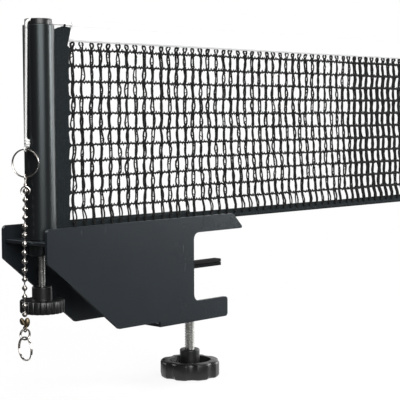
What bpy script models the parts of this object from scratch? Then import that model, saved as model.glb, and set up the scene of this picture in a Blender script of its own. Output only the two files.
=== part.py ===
"""Table tennis net clamp: a folded sheet bracket that clamps to the table's edge, a height-adjustable
net post with its net, and the tension cord's free tail with its ball chain and rings.

Metres, +Z up. The origin is on the clamp screw's axis, in the plane of the table's top, where the
rubber under the upper jaw rests. +X runs along the net towards the middle of the table, and the
camera of a player sees the front plate at -Y.
"""

import math

import bmesh
import bpy
from mathutils import Matrix, Vector

# ---- clearances -----------------------------------------------------------------------------------
GAP = 0.0003              # between faces that meet
CUT_MARGIN = 0.004        # how far a cutter runs past the face it cuts

# ---- bracket: one folded sheet --------------------------------------------------------------------
SHEET = 0.0025            # thickness of the sheet
BRACKET_WIDTH = 0.050     # outside, front plate to rear plate
BEND_INNER = 0.0015       # inside radius of the two bottom bends
PAD_PROUD = 0.0003        # the upper jaw rubber stands this far below the arms
UPPER_ARM_HEIGHT = 0.012
UPPER_ARM_REACH = 0.055   # past the back of the jaw
ARM_CHAMFER = 0.0118      # slanted end of each upper arm
JAW_OPENING = 0.0514      # between the upper and lower arms
JAW_FILLET = 0.005
LOWER_ARM_HEIGHT = 0.0152
LOWER_ARM_REACH = 0.0365
LOWER_ARM_FILLET = 0.0025
WEB_LENGTH = 0.0715       # the folded bottom, from the lower arm's end
SIDE_BOTTOM = 0.0627      # the plates' bottom edge left of the web, below the upper arms' underside
SLANT_TOP = 0.0109        # where the slanted edge meets the left edge, below the same line
SLANT_RUN = 0.0635        # length of the slanted edge along X
TOP_CORNER = 0.003
BACK_REACH = 0.015        # of the plates, behind the post's axis

# ---- where the post and the clamp screw stand -----------------------------------------------------
POST_TO_JAW = 0.124       # post axis to the back of the jaw
JAW_TO_SCREW = 0.020      # back of the jaw to the clamp screw's axis

# ---- upper jaw ------------------------------------------------------------------------------------
JAW_PLATE = 0.0025
JAW_PLATE_BACK = 0.012    # how far the plate reaches behind the jaw's back
JAW_PLATE_FRONT = 0.049   # and in front of it
JAW_PAD = 0.0015
JAW_PAD_INSET = 0.0015    # rubber's edge inside the jaw plate's edge

# ---- clamp screw, nut, knob and pressure plate ----------------------------------------------------
CLAMP_SCREW_R = 0.0038    # M8
CLAMP_TIP_R = 0.0024      # the screw's end, turned down for the foot
CLAMP_NUT_FLATS = 0.013
CLAMP_NUT_HEIGHT = 0.0065
PRESSURE_LENGTH = 0.065
PRESSURE_WIDTH = 0.008
PRESSURE_CORNER = 0.0015
PRESSURE_PLATE = 0.0024
PRESSURE_PAD = 0.0025
PRESSURE_TOP = -0.0250    # top of the moving rubber as photographed
FOOT_R = 0.0042
FOOT_HEIGHT = 0.0055
FOOT_SOCKET = 0.0037      # depth of the socket that holds the screw's end
FOOT_SPIGOT_R = 0.0022
CLAMP_KNOB_R = 0.023
CLAMP_KNOB_TOP = -0.1011
CLAMP_KNOB_HEIGHT = 0.0128
CLAMP_KNOB_GROOVES = 8
CLAMP_KNOB_GROOVE_DEPTH = 0.0022
CLAMP_KNOB_EDGE = 0.0022
CLAMP_HUB_R = 0.0077
CLAMP_HUB_HEIGHT = 0.0085
CLAMP_RECESS_R = 0.0168
CLAMP_RECESS_DEPTH = 0.0055

# ---- post's foot and height adjuster --------------------------------------------------------------
SEAT_TOP = 0.0029         # top of the cross plate, above the table's plane
SEAT_BACK = 0.014         # reach of the cross plate behind the post's axis
SEAT_FRONT = 0.022        # and in front of it
BUSH_R = 0.009
BUSH_NECK_R = 0.005
BUSH_DROP = 0.0081        # depth of the bush under the cross plate
HEIGHT_SCREW_R = 0.00245  # M5
HEIGHT_SCREW_TIP = 0.0477
HEIGHT_KNOB_R = 0.0154
HEIGHT_KNOB_TOP = -0.0384
HEIGHT_KNOB_HEIGHT = 0.0088
HEIGHT_KNOB_RIBS = 24
HEIGHT_KNOB_RIB_DEPTH = 0.0007
HEIGHT_NECK_R = 0.007
HEIGHT_NECK_HEIGHT = 0.0092
HEIGHT_KNOB_FLOOR = 0.003  # thickness left under the screw's end

# ---- post -----------------------------------------------------------------------------------------
POST_R = 0.01075
POST_WALL = 0.00145
POST_TOP = 0.149
POST_SLOT = 0.0032        # width of the slot for the net's end band
POST_SLOT_FOOT = 0.0025   # length of whole tube under the slot
GUIDE_HEIGHT = 0.042      # guide post inside the tube, above the cross plate
GUIDE_FLAT = 0.0038       # flat that clears the net's end rod, from the post's axis
PLUG_HEIGHT = 0.008
CAP_R = 0.0094
CAP_HEAD = 0.0042         # height of the cap above the tube
CAP_SPIGOT = 0.0055
CAP_EDGE = 0.0007
CAP_GROOVE = 0.0026
CAP_GROOVE_DEPTH = 0.0022

# ---- net ------------------------------------------------------------------------------------------
NET_END = 0.430           # free end of the net, from the post's axis
NET_TOP = 0.1525          # the rule height above the table
TAPE_HEIGHT = 0.0135
TAPE_THICK = 0.0016
TAPE_TOP_THICK = 0.0036   # where the tape folds round the cord
HEM_TOP = 0.0133
HEM_BOTTOM = 0.0065
HEM_THICK = 0.0028
ROW_TOP = 0.1334          # uppermost horizontal cord of the mesh
ROW_PITCH = 0.01107
ROWS = 11
COLUMN_GAPS = 24          # meshes along the net, each as wide as two of the real ones
STRAND = 0.0013
NET_THICK = 0.0010
ROD_R = 0.0015
ROD_OFFSET = 0.0065       # net's end rod, from the post's axis
ROD_TOP = 0.1425
ROD_BOTTOM = 0.0075
BAND_THICK = 0.0014
BAND_END = 0.029          # band's edge, from the post's axis
BAND_TOP = 0.1486
BAND_PEAK = (0.0213, 0.1495)
BAND_SHOULDER = (0.0138, 0.1463)
SLEEVE_WALL = 0.0006

# ---- cords ----------------------------------------------------------------------------------------
CORD_R = 0.00085
CORD_SLACK = 0.0003       # round the cord in its tape
BOTTOM_CORD_R = 0.00075
TAIL_LENGTH = 0.0731      # from the post's rim to the knot
TAIL_DROP = 0.0027        # the free tail starts this far below the tube's top
TAIL_Y = -0.0018          # and hangs this far in front of the post's axis
TAIL_CORD_BEND = 0.0034    # radius of the cord's bend over the post's rim
KNOT_R = 0.0024
KNOT_HEIGHT = 0.0072

# ---- rings and ball chain -------------------------------------------------------------------------
UPPER_RING_R = 0.0099     # outer radius
UPPER_RING_TURN = -60.0   # direction of its plane about Z, degrees from +X
LOWER_RING_R = 0.0084
LOWER_RING_TURN = -96.0
CLASP_RING_R = 0.0041
CLASP_RING_TURN = -7.0
RING_WIRE = 0.0010        # radial thickness of a split ring
RING_STACK = 0.0018       # two turns of wire, along the ring's axis
RING_NEST = 0.0007         # between the wires of the two linked rings
BALL_R = 0.0019
BALL_PITCH = 0.00596
BALLS = 15
BALL_BANDS = 6            # facets over a ball from pin to pin
BALL_SIDES = 10
LINK_R = 0.0005            # pin between two balls
EYE_WIRE_R = 0.0005
BAIL_R = 0.0030            # of the wire's middle, round the first ball
BAIL_MOUTH = 0.0032        # opening under the first ball, for the chain's pin
CLASP_TURN = -45.0
CLASP_WIDTH = 0.0072
CLASP_DEPTH = 0.0030
CLASP_HEIGHT = 0.0060

# ---- worked out from the above --------------------------------------------------------------------
JAW_BACK = -JAW_TO_SCREW
POST_X = JAW_BACK - POST_TO_JAW
ARM_UNDER = PAD_PROUD
HALF_WIDTH = BRACKET_WIDTH / 2
INNER_HALF = HALF_WIDTH - SHEET
BEND_OUTER = BEND_INNER + SHEET
ARM_TOP = ARM_UNDER + UPPER_ARM_HEIGHT
LOWER_ARM_TOP = ARM_UNDER - JAW_OPENING
WEB_BOTTOM = LOWER_ARM_TOP - LOWER_ARM_HEIGHT
WEB_TOP = WEB_BOTTOM + SHEET
BRACKET_LEFT = POST_X - BACK_REACH
LOWER_ARM_END = JAW_BACK + LOWER_ARM_REACH
WEB_LEFT = LOWER_ARM_END - WEB_LENGTH
SEAT_BOTTOM = SEAT_TOP - SHEET
SEAT_LEFT = POST_X - SEAT_BACK
BUSH_BOTTOM = SEAT_BOTTOM - BUSH_DROP
POST_BORE_R = POST_R - POST_WALL
POST_FOOT = SEAT_TOP + GAP
INNER_FIT_R = POST_BORE_R - GAP
GUIDE_TOP = SEAT_TOP + GAP + GUIDE_HEIGHT
PLUG_BOTTOM = HEIGHT_SCREW_TIP + GAP
TAPE_BOTTOM = NET_TOP - TAPE_HEIGHT
CORD_Z = NET_TOP - TAPE_TOP_THICK / 2
CAP_TOP = POST_TOP + CAP_HEAD
GROOVE_FLOOR = CAP_TOP - CAP_GROOVE_DEPTH
CORD_OVER_CAP = GROOVE_FLOOR + GAP + CORD_R
TAIL_X = POST_X - math.sqrt((POST_R + CORD_R + GAP) ** 2 - TAIL_Y ** 2)
TAIL_TOP = POST_TOP - TAIL_DROP
PRESSURE_PLATE_TOP = PRESSURE_TOP - PRESSURE_PAD - GAP
PRESSURE_PLATE_BOTTOM = PRESSURE_PLATE_TOP - PRESSURE_PLATE
FOOT_TOP = PRESSURE_PLATE_BOTTOM - GAP
FOOT_BOTTOM = FOOT_TOP - FOOT_HEIGHT
CLAMP_SHOULDER = FOOT_BOTTOM - GAP
CLAMP_SCREW_TOP = FOOT_BOTTOM + FOOT_SOCKET - GAP
CLAMP_HUB_TOP = CLAMP_KNOB_TOP + CLAMP_HUB_HEIGHT
CLAMP_KNOB_BOTTOM = CLAMP_KNOB_TOP - CLAMP_KNOB_HEIGHT
RECESS_FLOOR = CLAMP_KNOB_TOP - CLAMP_RECESS_DEPTH

# The tail leans a little away from the post, because the chain lies over the height knob's rim.
KNOT_AT = Vector((POST_X - 0.0136, -0.0018, TAIL_TOP - TAIL_LENGTH))
UPPER_RING_AT = Vector((POST_X - 0.0142, -0.0019, KNOT_AT.z - KNOT_HEIGHT - UPPER_RING_R - GAP))
CHAIN_TOP = Vector((POST_X - 0.0147, -0.0021, UPPER_RING_AT.z - UPPER_RING_R - 0.0088))
CHAIN_END = Vector((POST_X - 0.0177, -0.0033, CHAIN_TOP.z - BALL_PITCH * (BALLS - 1)))
CHAIN_BOW = Vector((-0.0006, -0.0003, 0.0))   # how far the middle of the chain stands out


# ---- tools of the workshop ------------------------------------------------------------------------
def clear_scene():
    for item in list(bpy.data.objects):
        bpy.data.objects.remove(item, do_unlink=True)


def finish_of(name, colour, roughness, metallic=0.0):
    material = bpy.data.materials.new(name)
    material.use_nodes = True
    shader = material.node_tree.nodes["Principled BSDF"]
    shader.inputs["Base Color"].default_value = (*colour, 1.0)
    shader.inputs["Roughness"].default_value = roughness
    shader.inputs["Metallic"].default_value = metallic
    material.diffuse_color = (*colour, 1.0)
    return material


def to_object(name, shape, finish=None, about=(0.0, 0.0, 0.0), smooth_angle=35.0):
    """Makes an object from a bmesh given in world space, with its origin at the point about."""
    about = Vector(about)
    bmesh.ops.translate(shape, vec=-about, verts=shape.verts)
    mesh = bpy.data.meshes.new(name)
    shape.to_mesh(mesh)
    shape.free()
    mesh.shade_smooth()
    mesh.set_sharp_from_angle(angle=math.radians(smooth_angle))
    item = bpy.data.objects.new(name, mesh)
    item.location = about
    bpy.context.collection.objects.link(item)
    if finish:
        mesh.materials.append(finish)
    return item


def combine(target, tool, operation="DIFFERENCE"):
    """Cuts the tool out of the target, or joins it on, and hides the tool as a guide."""
    tool.hide_render = True
    tool.display_type = "WIRE"
    step = target.modifiers.new(operation.lower(), "BOOLEAN")
    step.operation = operation
    step.object = tool
    step.solver = "EXACT"


def rounded(corners, steps=4):
    """Outline from corners (a, b, radius): each corner with a radius becomes an arc."""
    outline = []
    count = len(corners)
    for index, (a, b, radius) in enumerate(corners):
        here = Vector((a, b))
        if not radius:
            outline.append(here)
            continue
        back = (Vector(corners[index - 1][:2]) - here).normalized()
        ahead = (Vector(corners[(index + 1) % count][:2]) - here).normalized()
        half = back.angle(ahead) / 2
        centre = here + (back + ahead).normalized() * radius / math.sin(half)
        start = here + back * radius / math.tan(half) - centre
        end = here + ahead * radius / math.tan(half) - centre
        sweep = start.angle_signed(end)
        for step in range(steps + 1):
            outline.append(centre + Matrix.Rotation(-sweep * step / steps, 2) @ start)
    return outline


def prism(outline, low, high, axis="Y"):
    """Extrudes an outline between two heights. Along Y the outline is (x, z), along Z it is (x, y)."""
    shape = bmesh.new()
    if axis == "Y":
        ring = [shape.verts.new((a, low, b)) for a, b in outline]
        travel = (0.0, high - low, 0.0)
    else:
        ring = [shape.verts.new((a, b, low)) for a, b in outline]
        travel = (0.0, 0.0, high - low)
    face = shape.faces.new(ring)
    pushed = bmesh.ops.extrude_face_region(shape, geom=[face])["geom"]
    moved = [item for item in pushed if isinstance(item, bmesh.types.BMVert)]
    bmesh.ops.translate(shape, vec=travel, verts=moved)
    bmesh.ops.recalc_face_normals(shape, faces=shape.faces)
    return shape


def block(low, high):
    shape = bmesh.new()
    low, high = Vector(low), Vector(high)
    bmesh.ops.create_cube(shape, size=1.0)
    bmesh.ops.scale(shape, vec=high - low, verts=shape.verts)
    bmesh.ops.translate(shape, vec=(low + high) / 2, verts=shape.verts)
    return shape


def turned(profile, x=0.0, y=0.0, segments=32):
    """Spins a closed profile of (radius, z) points about a vertical axis at x, y."""
    shape = bmesh.new()
    ring = [shape.verts.new((radius, 0.0, z)) for radius, z in profile]
    edges = [shape.edges.new((ring[i - 1], ring[i])) for i in range(len(ring))]
    edges = [e for e in edges if e.verts[0].co.x > 1e-6 or e.verts[1].co.x > 1e-6]
    bmesh.ops.spin(shape, geom=ring + edges, axis=(0, 0, 1), cent=(0, 0, 0),
                   steps=segments, angle=math.tau, use_merge=True)
    bmesh.ops.remove_doubles(shape, verts=shape.verts, dist=1e-6)
    loose = [e for e in shape.edges if not e.link_faces]
    bmesh.ops.delete(shape, geom=loose, context="EDGES")
    bmesh.ops.recalc_face_normals(shape, faces=shape.faces)
    bmesh.ops.translate(shape, vec=(x, y, 0.0), verts=shape.verts)
    return shape


def rod(radius, low, high, x=0.0, y=0.0, segments=24, tip=0.0):
    """Vertical round bar, with a chamfer at its top end when tip is given."""
    profile = [(0.0, low), (radius, low), (radius, high - tip), (radius - tip, high), (0.0, high)]
    if not tip:
        profile.pop(3)
    return turned(profile, x, y, segments)


def ring_shape(outer, wire, stack, centre, turn, segments=32):
    """Flat ring of rounded section. Its plane is vertical, along the direction turn about Z."""
    middle, half, edge = outer - wire / 2, stack / 2, wire * 0.3
    section = rounded([(middle - wire / 2, -half, edge), (middle + wire / 2, -half, edge),
                       (middle + wire / 2, half, edge), (middle - wire / 2, half, edge)], steps=1)
    shape = turned([tuple(point) for point in section], segments=segments)
    stand = Matrix.Rotation(math.radians(turn), 4, "Z") @ Matrix.Rotation(math.radians(90), 4, "X")
    bmesh.ops.transform(shape, matrix=Matrix.Translation(centre) @ stand, verts=shape.verts)
    return shape


def wire_loop(major, wire_radius, centre, turn, segments=20, sides=8):
    """Round wire loop in the vertical plane along the direction turn."""
    profile = [(major + wire_radius * math.cos(math.tau * i / sides),
                wire_radius * math.sin(math.tau * i / sides)) for i in range(sides)]
    shape = turned(profile, segments=segments)
    stand = Matrix.Rotation(math.radians(turn), 4, "Z") @ Matrix.Rotation(math.radians(90), 4, "X")
    bmesh.ops.transform(shape, matrix=Matrix.Translation(centre) @ stand, verts=shape.verts)
    return shape


def cord_along(name, points, radius, finish, about):
    """Round cord as a curve with filled ends."""
    about = Vector(about)
    curve = bpy.data.curves.new(name, "CURVE")
    curve.dimensions = "3D"
    curve.bevel_depth = radius
    curve.bevel_resolution = 2
    curve.use_fill_caps = True
    spline = curve.splines.new("POLY")
    spline.points.add(len(points) - 1)
    for point, place in zip(spline.points, points):
        point.co = (*(Vector(place) - about), 1.0)
    item = bpy.data.objects.new(name, curve)
    item.location = about
    bpy.context.collection.objects.link(item)
    curve.materials.append(finish)
    return item


def smooth_route(stations, spacing):
    """Points about spacing apart on a smooth curve through the stations."""
    stations = [Vector(place) for place in stations]
    route = [stations[0]]
    for i in range(len(stations) - 1):
        here, there = stations[i], stations[i + 1]
        before = stations[max(i - 1, 0)]
        after = stations[min(i + 2, len(stations) - 1)]
        span = (there - here).length
        steps = max(1, round(span / spacing))
        for step in range(1, steps + 1):
            t = step / steps
            route.append(0.5 * (2 * here + (there - before) * t
                                + (2 * before - 5 * here + 4 * there - after) * t ** 2
                                + (3 * here - before - 3 * there + after) * t ** 3))
    return route


def scalloped(radius, depth, count, per_lobe, turn=0.0, sharpness=1.0):
    """Outline of a gripped rim: a circle with count shallow grooves. The first is at turn."""
    outline = []
    for i in range(count * per_lobe):
        angle = math.tau * i / (count * per_lobe)
        dip = max(0.0, math.cos(count * angle)) ** sharpness
        reach = radius - depth * dip
        outline.append((reach * math.cos(angle + turn), reach * math.sin(angle + turn)))
    return outline


# ---- the bracket ----------------------------------------------------------------------------------
def bracket_body(finish):
    bottom = ARM_UNDER - SIDE_BOTTOM
    arm_end = JAW_BACK + UPPER_ARM_REACH
    outline = rounded([
        (BRACKET_LEFT, ARM_TOP, TOP_CORNER),
        (arm_end - ARM_CHAMFER, ARM_TOP, 0.001),
        (arm_end, ARM_UNDER, 0.0012),
        (JAW_BACK, ARM_UNDER, JAW_FILLET),
        (JAW_BACK, LOWER_ARM_TOP, JAW_FILLET),
        (LOWER_ARM_END, LOWER_ARM_TOP, LOWER_ARM_FILLET),
        (LOWER_ARM_END, WEB_BOTTOM, LOWER_ARM_FILLET),
        (WEB_LEFT, WEB_BOTTOM, 0.0),
        (WEB_LEFT, bottom, 0.0),
        (BRACKET_LEFT + SLANT_RUN, bottom, 0.001),
        (BRACKET_LEFT, ARM_UNDER - SLANT_TOP, 0.0015)])
    shape = prism(outline, -HALF_WIDTH, HALF_WIDTH)
    bends = [e for e in shape.edges if all(abs(v.co.z - WEB_BOTTOM) < 1e-5 for v in e.verts)
             and abs(e.verts[0].co.y - e.verts[1].co.y) < 1e-6]
    bmesh.ops.bevel(shape, geom=bends, offset=BEND_OUTER, segments=4, profile=0.5,
                    affect="EDGES", clamp_overlap=True, material=-1)
    body = to_object("bracket_body", shape, finish)

    left, right = BRACKET_LEFT - CUT_MARGIN, arm_end + CUT_MARGIN
    high, low = ARM_TOP + CUT_MARGIN, WEB_BOTTOM - CUT_MARGIN
    hollow = prism([(left, high), (right, high), (right, WEB_TOP), (WEB_LEFT, WEB_TOP),
                    (WEB_LEFT, low), (left, low)], -INNER_HALF, INNER_HALF)
    corners = [e for e in hollow.edges if all(abs(v.co.z - WEB_TOP) < 1e-5 for v in e.verts)
               and abs(e.verts[0].co.y - e.verts[1].co.y) < 1e-6]
    bmesh.ops.bevel(hollow, geom=corners, offset=BEND_INNER, segments=3, profile=0.5,
                    affect="EDGES", clamp_overlap=True, material=-1)
    combine(body, to_object("channel_cutter", hollow))
    hole = rod(CLAMP_SCREW_R + GAP, WEB_BOTTOM - CUT_MARGIN, WEB_TOP + CUT_MARGIN)
    combine(body, to_object("web_hole_cutter", hole))
    return body


def post_cross_plate(finish):
    side = INNER_HALF - GAP
    plate = to_object("post_cross_plate", block((SEAT_LEFT, -side, SEAT_BOTTOM),
                                                (POST_X + SEAT_FRONT, side, SEAT_TOP)), finish)
    hole = rod(BUSH_NECK_R + GAP, SEAT_BOTTOM - CUT_MARGIN, SEAT_TOP + CUT_MARGIN, x=POST_X)
    combine(plate, to_object("seat_hole_cutter", hole))


def height_bush(finish):
    bore = HEIGHT_SCREW_R + GAP
    shoulder = SEAT_BOTTOM - GAP
    profile = [(bore, BUSH_BOTTOM), (BUSH_R - 0.0006, BUSH_BOTTOM), (BUSH_R, BUSH_BOTTOM + 0.0006),
               (BUSH_R, shoulder), (BUSH_NECK_R, shoulder), (BUSH_NECK_R, SEAT_TOP), (bore, SEAT_TOP)]
    to_object("height_bush", turned(profile, x=POST_X), finish)


def upper_jaw(metal, rubber):
    side = INNER_HALF - GAP
    low = JAW_PAD + GAP
    to_object("upper_jaw_plate", block((JAW_BACK - JAW_PLATE_BACK, -side, low),
                                       (JAW_BACK + JAW_PLATE_FRONT, side, low + JAW_PLATE)), metal)
    inset = JAW_PAD_INSET
    ends = (JAW_BACK + inset, JAW_BACK + JAW_PLATE_FRONT - inset)
    corner = 0.002
    pad = rounded([(ends[0], inset - side, corner), (ends[1], inset - side, corner),
                   (ends[1], side - inset, corner), (ends[0], side - inset, corner)])
    to_object("upper_jaw_pad", prism(pad, 0.0, JAW_PAD, axis="Z"), rubber)


# ---- the clamp screw and what it moves ------------------------------------------------------------
def clamp_nut(finish):
    reach = CLAMP_NUT_FLATS / 2 / math.cos(math.pi / 6)
    hexagon = [(reach * math.cos(math.tau * i / 6), reach * math.sin(math.tau * i / 6))
               for i in range(6)]
    low = WEB_TOP + GAP
    nut = to_object("clamp_nut", prism(hexagon, low, low + CLAMP_NUT_HEIGHT, axis="Z"), finish)
    bore = rod(CLAMP_SCREW_R + GAP, low - CUT_MARGIN, low + CLAMP_NUT_HEIGHT + CUT_MARGIN)
    combine(nut, to_object("nut_bore_cutter", bore))


def clamp_screw(finish):
    low, edge = RECESS_FLOOR + GAP, 0.0006
    profile = [(0.0, low), (CLAMP_SCREW_R, low), (CLAMP_SCREW_R, CLAMP_SHOULDER - edge),
               (CLAMP_SCREW_R - edge, CLAMP_SHOULDER), (CLAMP_TIP_R, CLAMP_SHOULDER),
               (CLAMP_TIP_R, CLAMP_SCREW_TOP - edge / 2), (CLAMP_TIP_R - edge / 2, CLAMP_SCREW_TOP),
               (0.0, CLAMP_SCREW_TOP)]
    to_object("clamp_screw", turned(profile, segments=24), finish)


def clamp_knob(finish):
    rim = scalloped(CLAMP_KNOB_R, CLAMP_KNOB_GROOVE_DEPTH, CLAMP_KNOB_GROOVES, 8,
                    turn=math.radians(3.5), sharpness=0.8)
    shape = prism(rim, CLAMP_KNOB_BOTTOM, CLAMP_KNOB_TOP, axis="Z")
    rims = [e for e in shape.edges if abs(e.verts[0].co.z - e.verts[1].co.z) < 1e-6]
    bmesh.ops.bevel(shape, geom=rims, offset=CLAMP_KNOB_EDGE, segments=3, profile=0.5,
                    affect="EDGES", clamp_overlap=True, material=-1)
    knob = to_object("clamp_knob", shape, finish)
    wall = 0.0015
    recess = turned([(CLAMP_HUB_R, RECESS_FLOOR), (CLAMP_RECESS_R - wall, RECESS_FLOOR),
                     (CLAMP_RECESS_R, CLAMP_KNOB_TOP + CUT_MARGIN),
                     (CLAMP_HUB_R, CLAMP_KNOB_TOP + CUT_MARGIN)])
    combine(knob, to_object("recess_cutter", recess))
    hub = turned([(0.0, RECESS_FLOOR - 0.001), (CLAMP_HUB_R, RECESS_FLOOR - 0.001),
                  (CLAMP_HUB_R, CLAMP_HUB_TOP - 0.0008), (CLAMP_HUB_R - 0.0008, CLAMP_HUB_TOP),
                  (0.0, CLAMP_HUB_TOP)])
    combine(knob, to_object("hub_guide", hub), "UNION")
    bore = rod(CLAMP_SCREW_R + GAP, RECESS_FLOOR, CLAMP_HUB_TOP + CUT_MARGIN)
    combine(knob, to_object("knob_bore_cutter", bore))


def swivel_foot(finish):
    socket = CLAMP_TIP_R + GAP
    roof = FOOT_BOTTOM + FOOT_SOCKET
    profile = [(0.0, roof), (socket, roof), (socket, FOOT_BOTTOM), (FOOT_R, FOOT_BOTTOM),
               (FOOT_R, FOOT_TOP), (FOOT_SPIGOT_R, FOOT_TOP), (FOOT_SPIGOT_R, PRESSURE_PLATE_TOP),
               (0.0, PRESSURE_PLATE_TOP)]
    to_object("swivel_foot", turned(profile), finish, about=(0.0, 0.0, FOOT_BOTTOM))


def pressure_bar(metal, rubber):
    half, side = PRESSURE_LENGTH / 2, PRESSURE_WIDTH / 2
    outline = rounded([(-half, -side, PRESSURE_CORNER), (half, -side, PRESSURE_CORNER),
                       (half, side, PRESSURE_CORNER), (-half, side, PRESSURE_CORNER)])
    plate = to_object("pressure_plate", prism(outline, PRESSURE_PLATE_BOTTOM, PRESSURE_PLATE_TOP, "Z"),
                      metal)
    hole = rod(FOOT_SPIGOT_R + GAP, PRESSURE_PLATE_BOTTOM - CUT_MARGIN,
               PRESSURE_PLATE_TOP + PRESSURE_PAD)
    combine(plate, to_object("spigot_hole_cutter", hole))
    to_object("pressure_pad", prism(outline, PRESSURE_TOP - PRESSURE_PAD, PRESSURE_TOP, "Z"), rubber)


# ---- the height adjuster --------------------------------------------------------------------------
def d_section(radius, steps=28):
    """Round section with a flat on its +X side, which clears the net's end rod."""
    start = math.acos(GUIDE_FLAT / radius)
    sweep = math.tau - 2 * start
    return [(POST_X + radius * math.cos(start + sweep * i / steps),
             radius * math.sin(start + sweep * i / steps)) for i in range(steps + 1)]


def guide_post(finish):
    guide = to_object("guide_post", prism(d_section(INNER_FIT_R), SEAT_TOP + GAP, GUIDE_TOP, "Z"), finish)
    bore = rod(HEIGHT_SCREW_R + GAP, SEAT_TOP - CUT_MARGIN, GUIDE_TOP + CUT_MARGIN, x=POST_X)
    combine(guide, to_object("guide_bore_cutter", bore))


def height_screw(finish):
    low = HEIGHT_KNOB_TOP - HEIGHT_KNOB_HEIGHT + HEIGHT_KNOB_FLOOR + GAP
    to_object("height_screw", rod(HEIGHT_SCREW_R, low, HEIGHT_SCREW_TIP, x=POST_X, tip=0.0008),
              finish, about=(POST_X, 0.0, low))


def height_knob(finish):
    bottom = HEIGHT_KNOB_TOP - HEIGHT_KNOB_HEIGHT
    rim = scalloped(HEIGHT_KNOB_R, HEIGHT_KNOB_RIB_DEPTH, HEIGHT_KNOB_RIBS, 4)
    shape = prism([(POST_X + x, y) for x, y in rim], bottom, HEIGHT_KNOB_TOP, axis="Z")
    rims = [e for e in shape.edges if abs(e.verts[0].co.z - e.verts[1].co.z) < 1e-6]
    bmesh.ops.bevel(shape, geom=rims, offset=0.0008, segments=2, profile=0.5,
                    affect="EDGES", clamp_overlap=True, material=-1)
    knob = to_object("height_knob", shape, finish, about=(POST_X, 0.0, HEIGHT_KNOB_TOP))
    neck_top = HEIGHT_KNOB_TOP + HEIGHT_NECK_HEIGHT
    neck = turned([(0.0, bottom + 0.002), (HEIGHT_NECK_R, bottom + 0.002),
                   (HEIGHT_NECK_R, neck_top - 0.0006), (HEIGHT_NECK_R - 0.0006, neck_top),
                   (0.0, neck_top)], x=POST_X)
    combine(knob, to_object("neck_guide", neck), "UNION")
    bore = rod(HEIGHT_SCREW_R + GAP, bottom + HEIGHT_KNOB_FLOOR, neck_top + CUT_MARGIN, x=POST_X)
    combine(knob, to_object("height_bore_cutter", bore))


# ---- the post -------------------------------------------------------------------------------------
def post_tube(finish):
    profile = [(POST_BORE_R, POST_FOOT), (POST_R, POST_FOOT), (POST_R, POST_TOP - 0.0003),
               (POST_R - 0.0003, POST_TOP), (POST_BORE_R, POST_TOP)]
    tube = to_object("post_tube", turned(profile, x=POST_X, segments=48), finish,
                     about=(POST_X, 0.0, POST_FOOT))
    slot = block((POST_X + GUIDE_FLAT, -POST_SLOT / 2, POST_FOOT + POST_SLOT_FOOT),
                 (POST_X + POST_R + CUT_MARGIN, POST_SLOT / 2, POST_TOP + CUT_MARGIN))
    combine(tube, to_object("post_slot_cutter", slot))


def post_plug(finish):
    shape = prism(d_section(INNER_FIT_R), PLUG_BOTTOM, PLUG_BOTTOM + PLUG_HEIGHT, axis="Z")
    to_object("post_plug", shape, finish, about=(POST_X, 0.0, PLUG_BOTTOM))


def post_cap(finish):
    rim = POST_TOP + GAP
    profile = [(0.0, rim - CAP_SPIGOT), (INNER_FIT_R - 0.0005, rim - CAP_SPIGOT),
               (INNER_FIT_R, rim - CAP_SPIGOT + 0.0005), (INNER_FIT_R, rim), (CAP_R, rim),
               (CAP_R, CAP_TOP - CAP_EDGE), (CAP_R - CAP_EDGE * 0.3, CAP_TOP - CAP_EDGE * 0.3),
               (CAP_R - CAP_EDGE, CAP_TOP), (0.0, CAP_TOP)]
    cap = to_object("post_cap", turned(profile, x=POST_X, segments=40), finish,
                    about=(POST_X, 0.0, POST_TOP))
    reach = CAP_R + CUT_MARGIN
    groove = block((-reach, -CAP_GROOVE / 2, GROOVE_FLOOR), (reach, CAP_GROOVE / 2, CAP_TOP + CUT_MARGIN))
    slant = Matrix.Rotation(math.atan(-TAIL_Y / (2 * CAP_R)), 4, "Z")
    place = Matrix.Translation((POST_X, TAIL_Y / 2, 0.0)) @ slant
    bmesh.ops.transform(groove, matrix=place, verts=groove.verts)
    combine(cap, to_object("cap_groove_cutter", groove))


# ---- the net --------------------------------------------------------------------------------------
def net_end_rod(finish):
    to_object("net_end_rod", rod(ROD_R, ROD_BOTTOM, ROD_TOP, x=POST_X + ROD_OFFSET, segments=12), finish)


def net_end_band(finish):
    centre = POST_X + ROD_OFFSET
    outer = ROD_R + GAP + SLEEVE_WALL
    root = centre + ROD_R + GAP + SLEEVE_WALL / 2
    shoulder = POST_X + POST_R + GAP
    foot = max(HEM_BOTTOM, POST_FOOT + POST_SLOT_FOOT + GAP)
    outline = [(root, foot), (shoulder, foot), (shoulder, HEM_BOTTOM), (POST_X + BAND_END, HEM_BOTTOM),
               (POST_X + BAND_END, BAND_TOP), (POST_X + BAND_PEAK[0], BAND_PEAK[1]),
               (POST_X + BAND_SHOULDER[0], BAND_SHOULDER[1]), (shoulder, ROD_TOP), (root, ROD_TOP)]
    panel = to_object("net_end_band", prism(outline, -BAND_THICK / 2, BAND_THICK / 2), finish)
    sleeve = rod(outer, ROD_BOTTOM + GAP, ROD_TOP - GAP, x=centre, segments=16)
    combine(panel, to_object("sleeve_guide", sleeve), "UNION")
    bore = rod(ROD_R + GAP, 0.0, ROD_TOP + CUT_MARGIN, x=centre, segments=16)
    combine(panel, to_object("sleeve_bore_cutter", bore))


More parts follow.
